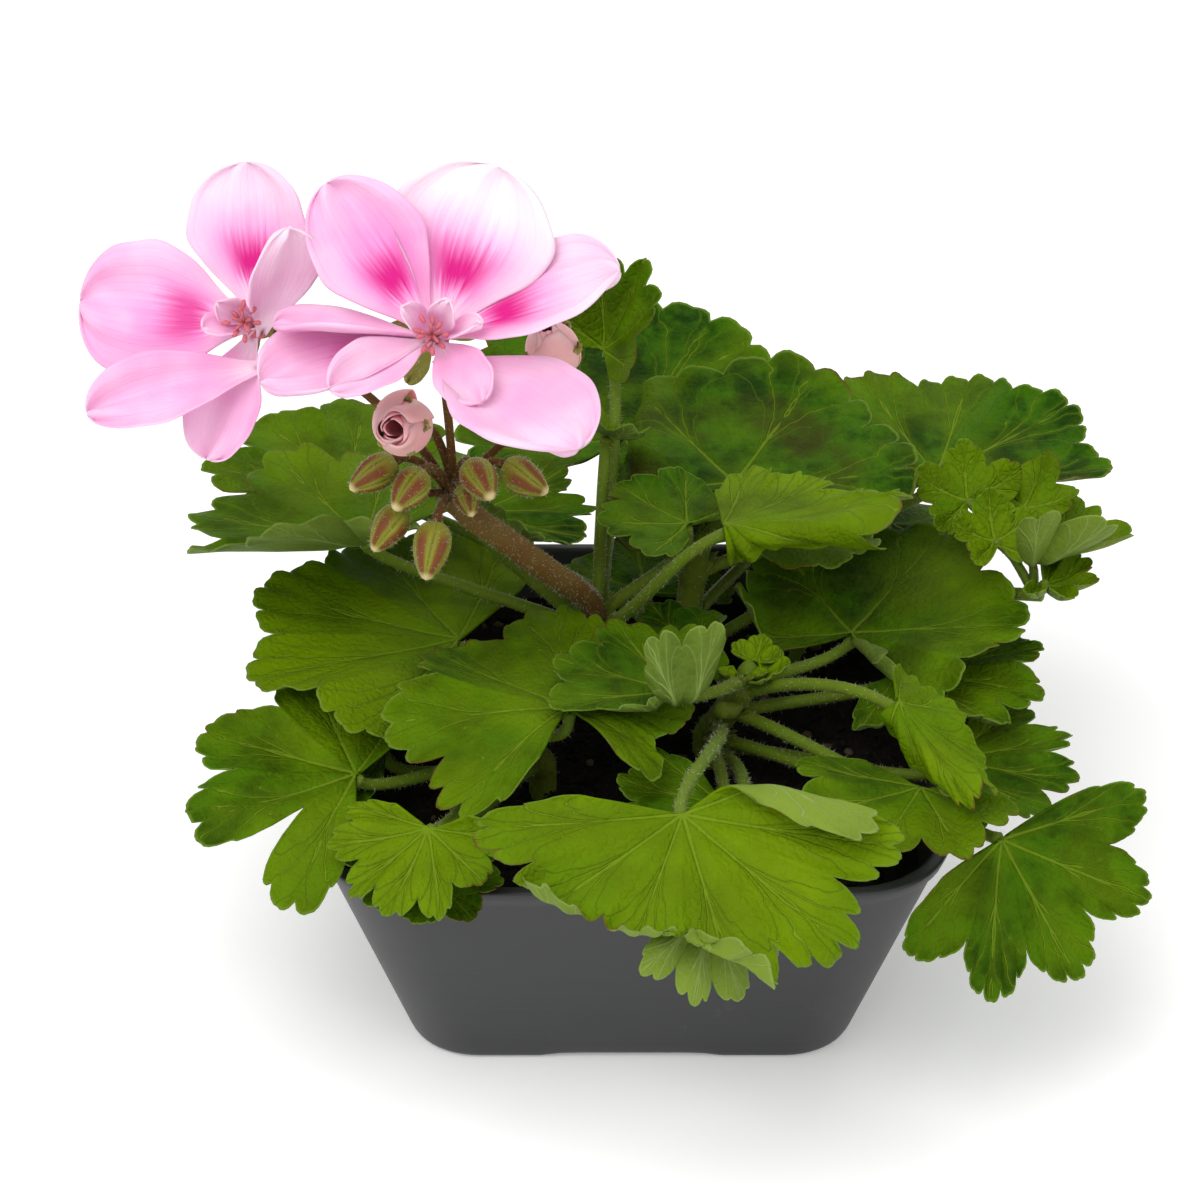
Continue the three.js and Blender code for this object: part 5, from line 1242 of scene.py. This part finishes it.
# floor, light and camera

lights = {"keySoftbox": {"at": (-0.35, -0.55, 1.1), "power": 11, "size": 0.9},
          "fillSoftbox": {"at": (0.9, -0.7, 0.7), "power": 3, "size": 0.9},
          "backSoftbox": {"at": (0.2, 0.9, 0.9), "power": 3, "size": 0.8}}
photoCamera = {"at": (-0.0056, -0.620, 0.4815), "above": 33.41, "sensor": 36, "lens": 36 * 4152 / 1200}


def makeStage():
    # a large pale floor, a soft light from above in front on the left, weaker ones at the right and behind
    bpy.ops.mesh.primitive_plane_add(size=12, location=(0, 0, -0.0002))
    floor = bpy.context.object
    floor.name = "paleFloor"
    floor.data.materials.append(plainFinish(
        "floorPaper", 3, (0.86, 0.86, 0.86, 1), (0.9, 0.9, 0.9, 1), Roughness=0.9, Specular_IOR_Level=0.1,
        Emission_Color=(1, 1, 1, 1), Emission_Strength=0.2))
    world = bpy.data.worlds.new("softStudio")
    world.use_nodes = True
    world.node_tree.nodes["Background"].inputs[0].default_value = (1, 1, 1, 1)
    world.node_tree.nodes["Background"].inputs[1].default_value = 0.6
    bpy.context.scene.world = world
    for name, look in lights.items():
        data = bpy.data.lights.new(name, "AREA")
        data.energy, data.size = look["power"], look["size"]
        light = bpy.data.objects.new(name, data)
        light.location = look["at"]
        light.rotation_euler = (Vector((0, 0, 0.07)) - Vector(look["at"])).to_track_quat("-Z", "Y").to_euler()
        bpy.context.scene.collection.objects.link(light)


def makeCamera():
    # the photograph's own angle: a long lens in front and above
    bpy.context.scene.view_settings.view_transform = "Standard"
    data = bpy.data.cameras.new("photoCamera")
    data.sensor_width, data.lens = photoCamera["sensor"], photoCamera["lens"]
    data.clip_start, data.clip_end = 0.02, 30
    camera = bpy.data.objects.new("photoCamera", data)
    camera.location = photoCamera["at"]
    camera.rotation_euler = (math.radians(90 - photoCamera["above"]), 0, 0)
    bpy.context.scene.collection.objects.link(camera)
    bpy.context.scene.camera = camera


makeStage()
makeCamera()
bpy.context.view_layer.update()
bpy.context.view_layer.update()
